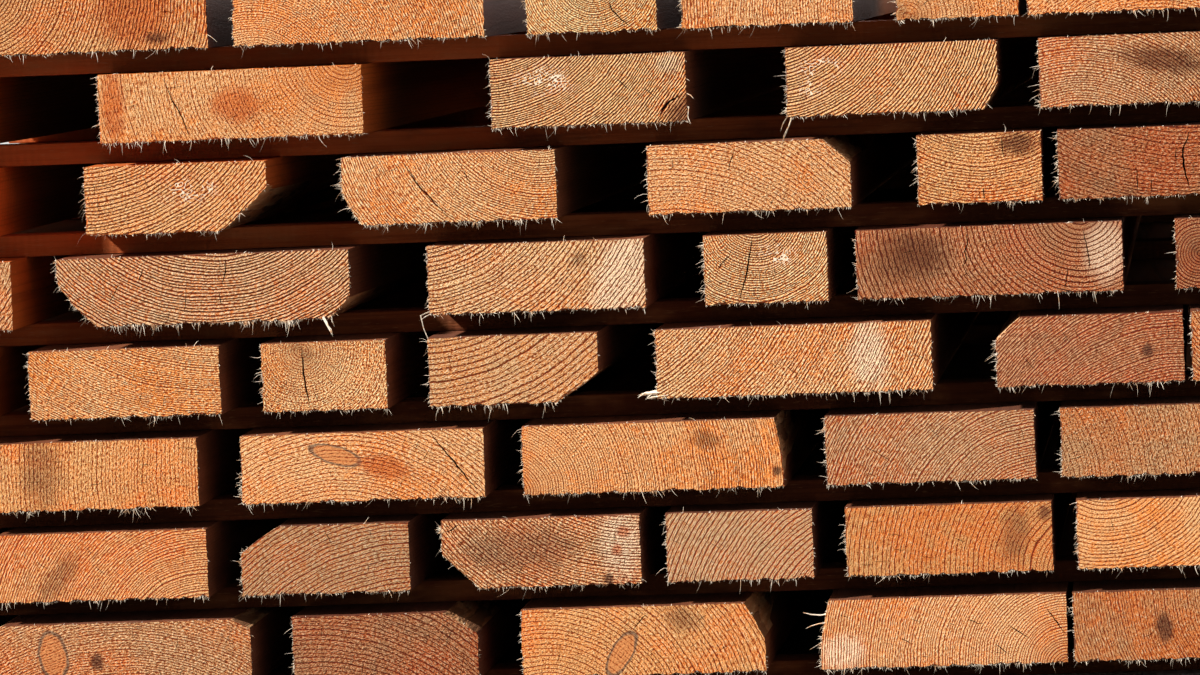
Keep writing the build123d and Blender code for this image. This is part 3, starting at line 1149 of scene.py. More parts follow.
class MeshDraft:
    """The triangles of one piece, gathered part by part before its mesh is made."""

    def __init__(self) -> None:
        """Start with nothing."""
        self.points: List[np.ndarray] = []
        self.faces: List[np.ndarray] = []
        self.maps: List[np.ndarray] = []
        self.slots: List[np.ndarray] = []
        self.count = 0

    def add(
        self, points: np.ndarray, faces: np.ndarray, bake: np.ndarray, slot: Union[int, np.ndarray]
    ) -> None:
        """Add a part.

        Args:
            points: Its corners, one row each.
            faces: Its triangles, three of its corners each.
            bake: Where each corner of each triangle lies on the bake map.
            slot: The material's number, one or one for each triangle.
        """
        self.points.append(points)
        self.faces.append(faces + self.count)
        self.maps.append(bake)
        self.slots.append(np.broadcast_to(slot, len(faces)))
        self.count += len(points)

    def make(
        self, name: str, corner: Sequence[float], finishes: Sequence[bpy.types.Material]
    ) -> bpy.types.Object:
        """Make the piece.

        Args:
            name: Its name.
            corner: Where its own zero lies in the frame.
            finishes: Its materials, in the order of their numbers.

        Returns:
            The piece's object.
        """
        points = (np.concatenate(self.points) + np.array(corner)) * METRES
        faces = np.concatenate(self.faces)
        mesh = bpy.data.meshes.new(name)
        mesh.vertices.add(len(points))
        mesh.vertices.foreach_set("co", points.ravel())
        mesh.loops.add(faces.size)
        mesh.loops.foreach_set("vertex_index", faces.ravel())
        mesh.polygons.add(len(faces))
        mesh.polygons.foreach_set("loop_start", np.arange(0, faces.size, 3))
        mesh.polygons.foreach_set("material_index", np.concatenate(self.slots).astype(np.int32))
        for finish in finishes:
            mesh.materials.append(finish)
        layer = mesh.uv_layers.new(name=BAKE_MAP)
        layer.data.foreach_set("uv", np.concatenate(self.maps).ravel())
        mesh.update(calc_edges=True)
        mesh.validate()
        mesh.shade_smooth()
        mesh.set_sharp_from_angle(angle=math.radians(CRISP_EDGE))
        return put(name, mesh)


def put(name: str, data: bpy.types.ID) -> bpy.types.Object:
    """Put an object into the scene."""
    thing = bpy.data.objects.new(name, data)
    bpy.context.scene.collection.objects.link(thing)
    return thing


def unit(ways: np.ndarray) -> np.ndarray:
    """Bring each row to a length of 1."""
    return ways / np.linalg.norm(ways, axis=1, keepdims=True)


def run(points: np.ndarray) -> np.ndarray:
    """Give how far along their line the points lie."""
    return np.concatenate([[0.0], np.cumsum(np.linalg.norm(np.diff(points, axis=0), axis=1))])


def closed_run(ring: np.ndarray) -> np.ndarray:
    """Give how far along a closed outline its corners lie, the first one again at the end."""
    return run(np.concatenate([ring, ring[:1]]))


def upright(flat: np.ndarray, back: Union[float, np.ndarray]) -> np.ndarray:
    """Stand the points of an end up in space, so far behind the front."""
    return np.column_stack([flat[:, 0], np.broadcast_to(back, len(flat)), flat[:, 1]])


def within(places: np.ndarray, ring: np.ndarray) -> np.ndarray:
    """Say which places lie inside a closed outline.

    Args:
        places: The places, one row each.
        ring: The corners of the outline.

    Returns:
        True for each place inside.
    """
    following = np.roll(ring, -1, axis=0)
    x, z = places[:, :1], places[:, 1:]
    crosses = (ring[:, 1] > z) != (following[:, 1] > z)
    rise = np.where(following[:, 1] == ring[:, 1], 1e-9, following[:, 1] - ring[:, 1])
    at = ring[:, 0] + (z - ring[:, 1]) / rise * (following[:, 0] - ring[:, 0])
    return np.count_nonzero(crosses & (at > x), axis=1) % 2 == 1


class Waver:
    """Smooth seeded unevenness over two lengths, from -1 to 1 or so."""

    def __init__(self, draw: np.random.RandomState, sizes: Sequence[Tuple[float, float]]) -> None:
        """Draw the waves.

        Args:
            draw: Where the random numbers come from.
            sizes: How long the waves are along each of the two lengths, two waves to a pair.
        """
        turn = 2 * math.pi
        self.waves: List[Tuple[float, float, float, float]] = []
        for pair in np.repeat(sizes, 2, axis=0):
            one, two = (turn / (size * draw.uniform(0.8, 1.25)) for size in pair)
            self.waves.append((one, two, draw.uniform(0, turn), draw.uniform(0.6, 1.0)))

    def at(self, first: np.ndarray, second: Union[float, np.ndarray]) -> np.ndarray:
        """Give the unevenness.

        Args:
            first: The place along the first length.
            second: The place along the second length.

        Returns:
            A number for each place.
        """
        waves = self.waves
        total = sum(high * np.sin(first * one + second * two + start) for one, two, start, high in waves)
        return total / sum(high for _, _, _, high in waves) * 1.6


@dataclass
class Section:
    """A board's sawn section: a rectangle, less what the round of its log takes from it.

    Attributes:
        width: How wide the rectangle is.
        thickness: How high it is.
        grain: How the board grew.
        step: About how far apart its corners are.
    """

    width: float
    thickness: float
    grain: Grain
    step: float = 2.0

    def __post_init__(self) -> None:
        """Lay the loop of corners round the rectangle."""
        corners = [(0, 0), (self.width, 0), (self.width, self.thickness), (0, self.thickness)]
        outward = [(0, -1), (1, 0), (0, 1), (-1, 0)]
        points, normals, sides = [], [], []
        for side, (start, end) in enumerate(zip(corners, corners[1:] + corners[:1])):
            start, end = np.array(start, float), np.array(end, float)
            parts = max(8, 4 * round(np.linalg.norm(end - start) / self.step / 4))
            share = np.arange(parts) / parts
            share = share - 0.4 * np.sin(2 * np.pi * share) / (2 * np.pi)
            points.append(start + share[:, None] * (end - start))
            normal = np.tile(np.array(outward[side], float), (parts, 1))
            normal[0] += outward[side - 1]
            normals.append(normal)
            sides.append(np.full(parts, side))
        self.points = np.concatenate(points)
        self.normals = np.concatenate(normals)
        self.sides = np.concatenate(sides)
        self.along = closed_run(self.points)

    def loop(self, back: float, inward: np.ndarray) -> Tuple[np.ndarray, np.ndarray]:
        """Cut the section at one place along the board.

        Args:
            back: How far behind the front end.
            inward: How far each corner is moved in.

        Returns:
            The corners, and whether each is on the round of the log.
        """
        points, normals = self.points.copy(), self.normals.copy()
        waney = np.zeros(len(points), bool)
        if self.grain.round_radius:
            middle = np.array(self.grain.round_middle or self.grain.pith, float)
            reach = points - middle
            length = np.linalg.norm(reach, axis=1)
            radius = self.grain.round_radius + LOG_TAPER * back
            waney = length > radius + 0.05
            points[waney] = (middle + reach * (radius / length)[:, None])[waney]
            normals[waney] = (reach / length[:, None])[waney]
        return points - normals * inward[:, None], waney


@dataclass
class Lens:
    """The gaping shape of a check on the end of a board.

    Attributes:
        left: Its left border, from one tip to the other.
        right: Its right border, likewise.
        middle: The line between them.
        depth: How far it runs in.
    """

    left: np.ndarray
    right: np.ndarray
    middle: np.ndarray
    depth: float

    @classmethod
    def gape(cls, check: Check, draw: np.random.RandomState) -> "Lens":
        """Open a check along its path, a little crooked.

        Args:
            check: The check.
            draw: Where the random numbers come from.

        Returns:
            Its shape.
        """
        path = np.array(check.path, float)
        lengths = run(path)
        count = max(4, int(round(lengths[-1] / 2.6)) + 1)
        places = np.linspace(0, lengths[-1], count)
        middle = np.column_stack([np.interp(places, lengths, path[:, axis]) for axis in (0, 1)])
        along = unit(np.gradient(middle, axis=0))
        side = np.column_stack([-along[:, 1], along[:, 0]])
        middle[1:-1] += side[1:-1] * draw.normal(0, 0.22, (count - 2, 1))
        wide = check.width * 0.52 * np.sin(np.pi * np.linspace(0, 1, count)).clip(0) ** 0.6
        wide[1:-1] *= draw.uniform(0.75, 1.1, count - 2)
        left = middle + side * wide[:, None]
        right = middle - side * wide[:, None]
        left[0] = right[0] = middle[0]
        left[-1] = right[-1] = middle[-1]
        return cls(left, right, middle, check.depth)

    def shrunk(self, share: float) -> "Lens":
        """Give the same check drawn in towards its middle."""
        hub = self.middle.mean(axis=0)
        borders = (hub + (border - hub) * share for border in (self.left, self.right, self.middle))
        return Lens(*borders, self.depth)

    def both(self) -> np.ndarray:
        """Give the corners of both borders."""
        return np.concatenate([self.left, self.right])

    def clear_of(self, points: np.ndarray, gap: float) -> bool:
        """Say whether the check keeps a gap from some points."""
        apart = np.linalg.norm(self.both()[:, None] - points[None], axis=2)
        return bool(apart.min() > gap)


@dataclass(frozen=True)
class Row:
    """One ring of corners round a board.

    Attributes:
        back: How far behind the front end it lies.
        loop: Its corners.
        waney: Which of them lie on the round of the log.
        skip: Which share of the full section's corners it has: one in so many.
        start: The number of its first corner in the mesh.
    """

    back: float
    loop: np.ndarray
    waney: np.ndarray
    skip: int
    start: int


@dataclass
class SawnBoard:
    """One rough-sawn board of the stack.

    Attributes:
        name: The name of the CAD node that it stands for.
        grain: How it grew.
        low: The lowest corner of that node.
        high: The highest corner of that node.
        number: Its own number, from 0, which also seeds its random draws.
        near_rows: How far from an end its fine rows of corners lie.
        middle_rows: The same of the half as fine rows.
        far_rows: How many coarse rows lie between them.
        draft: Its triangles.
    """

    name: str
    grain: Grain
    low: np.ndarray
    high: np.ndarray
    number: int
    near_rows: Tuple[float, ...] = (0.0, 0.7, 2.0, 4.5, 9.0, 17.0, 30.0)
    middle_rows: Tuple[float, ...] = (52.0, 86.0)
    far_rows: int = 18
    draft: MeshDraft = field(default_factory=MeshDraft)

    def __post_init__(self) -> None:
        """Take the sizes from the node and draw the unevenness."""
        self.width, self.length, self.thickness = (self.high - self.low).tolist()
        self.section = Section(self.width, self.thickness, self.grain)
        self.draw = np.random.RandomState(1000 + self.number)
        self.uneven = Waver(self.draw, ((9.0, 70.0), (24.0, 260.0), (60.0, 900.0)))
        self.chips = Waver(self.draw, ((3.1, 1e9), (6.0, 1e9), (15.0, 1e9), (47.0, 1e9)))
        self.end_scale = min(END_WIDTH / self.width, END_HEIGHT / self.thickness)

    def build(self, shared: Dict[SharedFinish, bpy.types.Material]) -> bpy.types.Object:
        """Build the board and dress it.

        Args:
            shared: The finishes that all boards share.

        Returns:
            The board's piece.
        """
        corner = tuple(float(part) for part in self.low)
        finish = BoardFinish(self.name, self.grain, corner, self.width, self.number)
        rows = self._rows()
        self._sides(rows)
        self._end(rows[0].loop, False)
        self._end(rows[-1].loop, True)
        finishes = [finish.end(), finish.side()]
        finishes += [shared[kind] for kind in (SharedFinish.WANE, SharedFinish.FIBRE, SharedFinish.CRACK)]
        piece = self.draft.make(f"sawn_{self.name}", corner, finishes)
        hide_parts(self.name)
        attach(piece, "root")
        return piece

    def _inward(self, back: float) -> np.ndarray:
        """Say how far in each corner of the section lies.

        Args:
            back: How far behind the front end.

        Returns:
            A length for each corner: the sawn roughness, and near an end the chipped edge.
        """
        place = self.section.along[:-1]
        rough = SAW_DEPTH + SAW_UNEVEN * self.uneven.at(place, back)
        near = min(back, self.length - back)
        reach = np.array(CHIPPED)[self.section.sides]
        start = 0.0 if back < self.length / 2 else 400.0
        chip = np.clip(self.chips.at(place, start) + 0.35, 0.0, 1.4) * reach * math.exp(-near / CHIP_FADE)
        return np.clip(rough, 0.0, 1.0) + chip

    def _rows(self) -> List[Row]:
        """Cut the board into rows, close together at its ends.

        Returns:
            The rows, front to back.
        """
        near, middle = list(self.near_rows), list(self.middle_rows)
        clear = middle[-1] + 70.0
        steps = [(back, 1) for back in near] + [(back, 2) for back in middle]
        far = [(back, 4) for back in np.linspace(clear, self.length - clear, self.far_rows).tolist()]
        mirrored = [(self.length - back, skip) for back, skip in reversed(steps)]
        rows, start = [], 0
        for back, skip in steps + far + mirrored:
            points, waney = self.section.loop(back, self._inward(back))
            rows.append(Row(back, points[::skip], waney[::skip], skip, start))
            start += len(rows[-1].loop)
        return rows

    def _sides(self, rows: List[Row]) -> None:
        """Join the rows to the board's long sides.

        Args:
            rows: The rows, front to back.
        """
        points = np.concatenate([upright(row.loop, row.back) for row in rows])
        bands = [self._band(front, rear) for front, rear in zip(rows, rows[1:])]
        self.draft.add(points, *(np.concatenate(parts) for parts in zip(*bands)))

    def _band(self, front: Row, rear: Row) -> Tuple[np.ndarray, np.ndarray, np.ndarray]:
        """Join two rows.

        Args:
            front: The row nearer the front.
            rear: The row behind it.

        Returns:
            The triangles, their corners on the bake map, and their materials.
        """
        size, skip = len(self.section.points), max(front.skip, rear.skip)
        at = np.arange(size // skip) * skip
        first, second, third, fourth = (front, at), (rear, at), (rear, at + skip), (front, at + skip)
        if front.skip == rear.skip:
            shapes = [(first, second, third), (first, third, fourth)]
        elif front.skip < rear.skip:
            half = (front, at + front.skip)
            shapes = [(first, second, half), (half, second, third), (half, third, fourth)]
        else:
            half = (rear, at + rear.skip)
            shapes = [(first, second, half), (first, half, fourth), (fourth, half, third)]
        faces, maps, slots = [], [], []
        for shape in shapes:
            numbers, places, waney = [], [], []
            for row, place in shape:
                wrapped = (place % size) // row.skip
                numbers.append(wrapped + row.start)
                waney.append(row.waney[wrapped])
                girth = self.section.along[place] / self.section.along[-1]
                across = np.full(len(at), row.back / self.length * SIDES_WIDTH)
                places.append(np.column_stack([across, SIDES_LOW + girth * SIDES_HEIGHT]))
            faces.append(np.column_stack(numbers))
            maps.append(np.stack(places, axis=1).reshape(-1, 2))
            slots.append(np.where(np.all(waney, axis=0), WANE, SIDE))
        return np.concatenate(faces), np.concatenate(maps), np.concatenate(slots)

    def _end(self, outline: np.ndarray, rear: bool) -> None:
        """Close one end, with its checks, and fringe it with torn fibres.

        Args:
            outline: The corners of the end.
            rear: Whether it is the back end.
        """
        lenses = self._lenses(outline, rear)
        rings = [outline] + [np.concatenate([lens.right, lens.left[-2:0:-1]]) for lens in lenses]
        flat = np.concatenate(rings)
        edges, start = [], 0
        for ring in rings:
            edges += [(start + at, start + (at + 1) % len(ring)) for at in range(len(ring))]
            start += len(ring)
        made = delaunay_2d_cdt([Vector(point) for point in flat.tolist()], edges, [], 0, 1e-6)
        points, kept = np.array([tuple(point) for point in made[0]]), np.array(made[2])
        middles = points[kept].mean(axis=1)
        solid = within(middles, outline)
        for ring in rings[1:]:
            solid &= ~within(middles, ring)
        kept = kept[solid]
        first, second, third = (points[kept[:, corner]] for corner in range(3))
        turn = np.cross(second - first, third - first)
        kept = kept[np.abs(turn) > 1e-9]
        turn = turn[np.abs(turn) > 1e-9]
        kept[turn < 0] = kept[turn < 0][:, ::-1]
        scale = self.end_scale * (0.5 if rear else 1.0)
        shift = np.array([MAP_EDGE, MIDDLE_ROW if rear else MAP_EDGE])
        bake = (points * scale * 0.99 + shift)[kept.ravel()]
        self._place(upright(points, 0.0), kept, bake, END, rear)
        for number, lens in enumerate(lenses):
            self._crack(lens, number, len(lenses), rear)
        self._fringe(outline, rear)

    def _place(
        self, points: np.ndarray, faces: np.ndarray, bake: np.ndarray, slot: int, rear: bool
    ) -> None:
        """Add a part of an end, mirrored where it is the back end.

        Args:
            points: Its corners, as at the front end.
            faces: Its triangles.
            bake: Its corners on the bake map.
            slot: Its material's number.
            rear: Whether it is at the back end.
        """
        if rear:
            points = points * (1.0, -1.0, 1.0) + (0.0, self.length, 0.0)
            faces = faces[:, ::-1]
            bake = bake.reshape(-1, 3, 2)[:, ::-1].reshape(-1, 2)
        self.draft.add(points, faces, bake, slot)

    def _lenses(self, outline: np.ndarray, rear: bool) -> List[Lens]:
        """Args:
            outline: The corners of the end.
            rear: Whether it is the back end.

        Returns:
            The gaping shapes, clear of the edge and of each other.
        """
        pith = np.array(self.grain.pith, float)
        wanted = [] if rear else list(self.grain.checks)
        for _ in range(self.grain.hairlines * (1 if rear else 3)):
            corner = np.array((self.width, self.thickness)) - HAIRLINE_TO_EDGE
            middle = self.draw.uniform((HAIRLINE_TO_EDGE,) * 2, corner)
            away = middle - pith
            away /= max(np.linalg.norm(away), 1e-6)
            half = away * self.draw.uniform(2.0, 7.5)
            side = np.array([-away[1], away[0]]) * self.draw.normal(0, 0.5)
            path = (tuple(middle - half), tuple(middle + side), tuple(middle + half))
            wide = self.draw.uniform(0.25, 0.45) * (1.6 if rear else 1.0)
            wanted.append(Check(path, wide, self.draw.uniform(5, 14)))
        lenses = []
        for check in wanted:
            lens = Lens.gape(check, self.draw)
            for _ in range(5):
                apart = all(lens.clear_of(other.both(), CHECKS_APART) for other in lenses)
                if apart and lens.clear_of(outline, CHECK_TO_EDGE) and within(lens.both(), outline).all():
                    lenses.append(lens)
                    break
                lens = lens.shrunk(0.93)
        return lenses

    def _crack(self, lens: Lens, number: int, total: int, rear: bool) -> None:
        """Add the two walls of a check, which meet in a line inside the board.

        Args:
            lens: The check's shape on the end.
            number: Which check it is.
            total: How many checks the end has.
            rear: Whether it is at the back end.
        """
        count = len(lens.left)
        share = np.linspace(0, 1, count)
        deep = lens.depth * np.sqrt(np.sin(np.pi * share).clip(0))
        keel = upright(lens.middle, deep)
        low = MIDDLE_ROW + CHECKS_HEIGHT * (number + 0.1) / total
        high = low + CHECKS_HEIGHT * 0.4 / total
        half = 0.02 if rear else 0.0
        for side, border in enumerate((lens.left, lens.right)):
            points = np.concatenate([upright(border, 0.0), keel])
            i = np.arange(count - 1)
            corners = (i, count + i, count + i + 1), (i, count + i + 1, i + 1)
            faces = np.concatenate([np.column_stack(corner) for corner in corners])
            if side:
                faces = faces[:, ::-1]
            across = CHECKS_LEFT + half + 0.009 * side + share * CHECK_WALL
            spots = np.concatenate([np.column_stack([across, np.full(count, row)]) for row in (low, high)])
            first, second, third = (points[faces[:, corner]] for corner in range(3))
            area = np.linalg.norm(np.cross(second - first, third - first), axis=1)
            faces = faces[area > 1e-6]
            self._place(points, faces, spots[faces.ravel()], CRACK, rear)

    def _fringe(self, outline: np.ndarray, rear: bool) -> None:
        """Hang torn fibres and slivers on the edge of an end.

        Args:
            outline: The corners of the end.
            rear: Whether it is the back end.
        """
        following = np.roll(outline, -1, axis=0)
        lengths = np.linalg.norm(following - outline, axis=1)
        clumps = np.exp(1.1 * self.chips.at(self.section.along[:-1] * 0.45 + 31.0, 0.0))
        _, waney = self.section.loop(0.0, np.zeros(len(outline)))
        thick = np.array(FIBRES_PER_MM)[self.section.sides]
        thick = np.where(waney, 0.55 * thick, thick) * clumps * lengths
        count = int(thick.sum() * self.grain.fuzz * (0.3 if rear else 1.0))
        chosen = self.draw.choice(len(outline), count, p=thick / thick.sum())
        share = self.draw.uniform(0, 1, (count, 1))
        root = outline[chosen] * (1 - share) + following[chosen] * share
        longer = np.array(LONG_FIBRES)[self.section.sides] * np.minimum(clumps, 3.0) * self.grain.fuzz
        paths, radius = self._fibres(root, unit((following - outline)[chosen]), longer[chosen])
        if not rear:
            for splinter in self.grain.splinters:
                paths, radius = self._with_splinter(paths, radius, splinter)
        self._needles(paths, radius, rear)

    def _fibres(
        self, root: np.ndarray, along: np.ndarray, longer: np.ndarray
    ) -> Tuple[np.ndarray, np.ndarray]:
        """Bend fibres out from their roots.

        Args:
            root: Where each one starts.
            along: The way of the edge there.
            longer: How likely it is a long one.

        Returns:
            The points of each fibre, and its radius.
        """
        count = len(root)
        out = np.column_stack([along[:, 1], -along[:, 0]])
        lean = self.draw.normal(0, 0.55, (count, 1))
        way = unit(out + along * lean + np.array([-0.12, -0.18]))
        long = self.draw.uniform(0, 1, (count, 1)) < longer[:, None]
        short = self.draw.uniform(0.5, 1.9, (count, 1))
        length = np.where(long, np.clip(self.draw.lognormal(1.20, 0.45, (count, 1)), 1.5, 10.0), short)
        bend = np.column_stack([-way[:, 1], way[:, 0]]) * self.draw.normal(0, 0.30, (count, 1))
        paths = np.zeros((count, len(FIBRE_STEPS), 3))
        for step, far in enumerate(FIBRE_STEPS):
            droop = max(far, 0.0) ** 2
            flat = root + way * length * far + bend * length * droop
            flat[:, 1] -= 0.25 * length[:, 0] * droop
            paths[:, step, ::2] = flat
        forward = self.draw.normal(-0.05, 0.28, count) * length[:, 0]
        start = self.draw.uniform(0.2, 1.6, count)
        paths[:, :, 1] = start[:, None] + forward[:, None] * np.array([0.0, 0.35, 0.75, 1.0])
        return paths, self.draw.uniform(0.18, 0.34, count) * np.where(long[:, 0], 0.72, 1.0)

    def _with_splinter(
        self, paths: np.ndarray, radius: np.ndarray, splinter: Splinter
    ) -> Tuple[np.ndarray, np.ndarray]:
        """Add a long sliver, frayed into a few strands, to the fibres.

        Args:
            paths: The fibres so far.
            radius: Their radii.
            splinter: The sliver.

        Returns:
            The paths and radii with the sliver's strands.
        """
        points = np.array(splinter.path, float)
        places = np.linspace(0, len(points) - 1, len(FIBRE_STEPS))
        flat = np.column_stack([np.interp(places, range(len(points)), points[:, axis]) for axis in (0, 1)])
        frayed = np.array([[0.3], [0.7], [1.0], [1.8]])
        shares = np.array([1.0, 0.6, 0.45, 0.3])
        strands = []
        for strand in range(len(shares)):
            loose = self.draw.normal(0, splinter.radius * 0.45, flat.shape) * frayed
            moved = flat + loose * (strand > 0)
            deep = self.draw.uniform(0.4, 1.6) - np.array([0.0, 0.4, 0.8, 1.4])
            strands.append(upright(moved, deep))
        radius = np.concatenate([radius, splinter.radius * shares])
        return np.concatenate([paths, np.array(strands)]), radius

    def _needles(self, paths: np.ndarray, radius: np.ndarray, rear: bool) -> None:
        """Make needles that taper along their paths.

        Args:
            paths: The points of each needle.
            radius: The radius of each at its root.
            rear: Whether they are at the back end.
        """
        count = len(paths)
        ahead = unit(paths[:, -1] - paths[:, 0])
        side = unit(np.cross(ahead, (0.31, 0.83, 0.47)))
        other = np.cross(ahead, side)
        sides, rings = FIBRE_SIDES, len(FIBRE_TAPER)
        tip, last = sides * rings, sides * (rings - 1)
        points = np.zeros((count, tip + 1, 3))
        for ring, thick in enumerate(FIBRE_TAPER):
            for corner in range(sides):
                turn = 2 * math.pi * corner / sides
                arm = side * math.cos(turn) + other * math.sin(turn)
                points[:, ring * sides + corner] = paths[:, ring] + arm * (radius * thick)[:, None]
        points[:, tip] = paths[:, -1]
        shape = [(0, 2, 1)]
        for ring in range(rings - 1):
            for corner in range(sides):
                a, b = ring * sides + corner, ring * sides + (corner + 1) % sides
                shape += [(a, b, b + sides), (a, b + sides, a + sides)]
        shape += [(last + corner, last + (corner + 1) % sides, tip) for corner in range(sides)]
        shape, place = np.array(shape), np.arange(count)
        faces = (place[:, None, None] * (tip + 1) + shape[None]).reshape(-1, 3)
        filled = 0.8
        spots = [(corner / sides, ring / rings) for ring in range(rings) for corner in range(sides)]
        spots = np.array(spots + [(0.5, 1.0)]) * filled
        cell = np.column_stack([place % FIBRES_IN_ROW, place // FIBRES_IN_ROW]) * FIBRE_CELL
        low_left = (BACK_FIBRES_LEFT if rear else FRONT_FIBRES_LEFT, MIDDLE_ROW)
        bake = (cell[:, None] + spots[None] * FIBRE_CELL + low_left)[:, shape.ravel()]
        self._place(points.reshape(-1, 3), faces, bake.reshape(-1, 2), FIBRE, rear)


# Two heights further apart than this belong to different stickers
LAYER_GAP = 30.0


@dataclass
class StickerRow:
    """One upright row of stickers, one sticker under each layer.

    Attributes:
        name: The name of the CAD node that it stands for.
        number: Its own number, from 0, which also seeds its random draws.
        stickers: How many stickers it has.
        columns: How many rings of corners lie between the ends of each.
        worn: How far their long edges are worn round.
    """

    name: str
    number: int
    stickers: int = 8
    columns: int = 54
    worn: float = 1.1

    def build(self, shared: Dict[SharedFinish, bpy.types.Material]) -> bpy.types.Object:
        """Build the row and dress it.

        Args:
            shared: The finishes that all stickers share.

        Returns:
            The row's piece.
        """
        draft = MeshDraft()
        draw = np.random.RandomState(5000 + self.number)
        for level, (low, high) in enumerate(self._places()):
            self._strip(draft, draw, level, low, high)
        finishes = [shared[SharedFinish.STICKER], shared[SharedFinish.STICKER_END]]
        piece = draft.make(f"sawn_{self.name}", ORIGIN, finishes)
        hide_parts(self.name)
        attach(piece, "root")
        return piece

    def _places(self) -> List[Tuple[np.ndarray, np.ndarray]]:
        """Find where each sticker of the node lies.

        Returns:
            The lowest and highest corner of each, from the ground up.
        """
        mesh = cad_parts[self.name].data
        points = np.array([tuple(vertex.co) for vertex in mesh.vertices]) / METRES
        order = points[np.argsort(points[:, 2])]
        breaks = np.nonzero(np.diff(order[:, 2]) > LAYER_GAP)[0] + 1
        return [(group.min(0), group.max(0)) for group in np.split(order, breaks)]

    def _outline(self, deep: float, tall: float) -> np.ndarray:
        """Draw the outline of a sticker with worn edges.

        Args:
            deep: How wide the sticker is.
            tall: How thick it is.

        Returns:
            Its corners, one row each.
        """
        corners = []
        for y, z, turn in ((0.0, 0.0, 180), (deep, 0.0, 270), (deep, tall, 0), (0.0, tall, 90)):
            middle = np.array([y + (-self.worn if y else self.worn), z + (-self.worn if z else self.worn)])
            for angle in np.radians((turn, turn + 45, turn + 90)):
                corners.append(middle + self.worn * np.array([math.cos(angle), math.sin(angle)]))
        loop = []
        for first, second in zip(corners, corners[1:] + corners[:1]):
            parts = max(1, round(np.linalg.norm(second - first) / 9.0))
            loop += [first + (second - first) * share / parts for share in range(parts)]
        return np.array(loop)

    def _strip(
        self, draft: MeshDraft, draw: np.random.RandomState, level: int, low: np.ndarray, high: np.ndarray
    ) -> None:
        """Add one sticker, a rough strip with worn edges.

        Args:
            draft: The row's triangles.
            draw: Where the random numbers come from.
            level: Which sticker it is, from the ground up.
            low: Its lowest corner.
            high: Its highest corner.
        """
        length, deep, tall = high - low
        loop = self._outline(deep, tall)
        count = len(loop)
        middle = np.array([deep / 2, tall / 2])
        wave = Waver(draw, ((12.0, 45.0), (30.0, 160.0), (60.0, 520.0)))
        around = closed_run(loop)
        inner = np.linspace(8.0, length - 8.0, self.columns)
        places = np.concatenate([[0.0, 0.8], inner, [length - 0.8, length]])
        rows = []
        for number, place in enumerate(places):
            inward = np.clip(0.35 + 0.3 * wave.at(around[:-1], place), 0.0, 0.9)
            shrink = 0.7 if number in (0, len(places) - 1) else 0.0
            away = (loop - middle) / (deep / 2, tall / 2)
            rough = np.sign(away) * np.abs(away) ** 4 * inward[:, None] * (1.0, 0.4)
            rows.append(np.column_stack([np.full(count, place), loop - rough - away * shrink]) + low)
        points = np.concatenate(rows)
        i, j = (part.ravel() for part in np.meshgrid(np.arange(count), np.arange(len(places) - 1)))
        rows_map = places / places[-1] * 0.94
        around_map = (level + around / around[-1] * 0.94) / self.stickers
        spots = np.stack(np.meshgrid(rows_map, around_map, indexing="ij"), axis=2)
        faces, bake = [], []
        for shape in (((0, 0), (0, 1), (1, 1)), ((0, 0), (1, 1), (1, 0))):
            faces.append(np.column_stack([(j + row) * count + (i + step) % count for row, step in shape]))
            bake.append(np.stack([spots[j + row, i + step] for row, step in shape], axis=1))
        draft.add(points, np.concatenate(faces), np.concatenate(bake).reshape(-1, 2), 0)
        for end in (0, len(places) - 1):
            ring = points[end * count:(end + 1) * count]
            hub = np.concatenate([ring, ring.mean(0, keepdims=True)])
            k = np.arange(count)
            faces = np.column_stack([k, np.full(count, count), (k + 1) % count])
            faces = faces if end == 0 else faces[:, ::-1]
            low_left = (0.95 + (0.025 if end else 0.0), (level + 0.1) / self.stickers)
            spots = (hub[:, 1:] - low[1:]) * (0.022 / deep) + low_left
            draft.add(hub, faces, spots[faces.ravel()], 1)


# The studio

# In metres: how far off the lamps stand, and how far the floor reaches each way
LAMP_DISTANCE = 8.0
FLOOR_REACH = 60.0


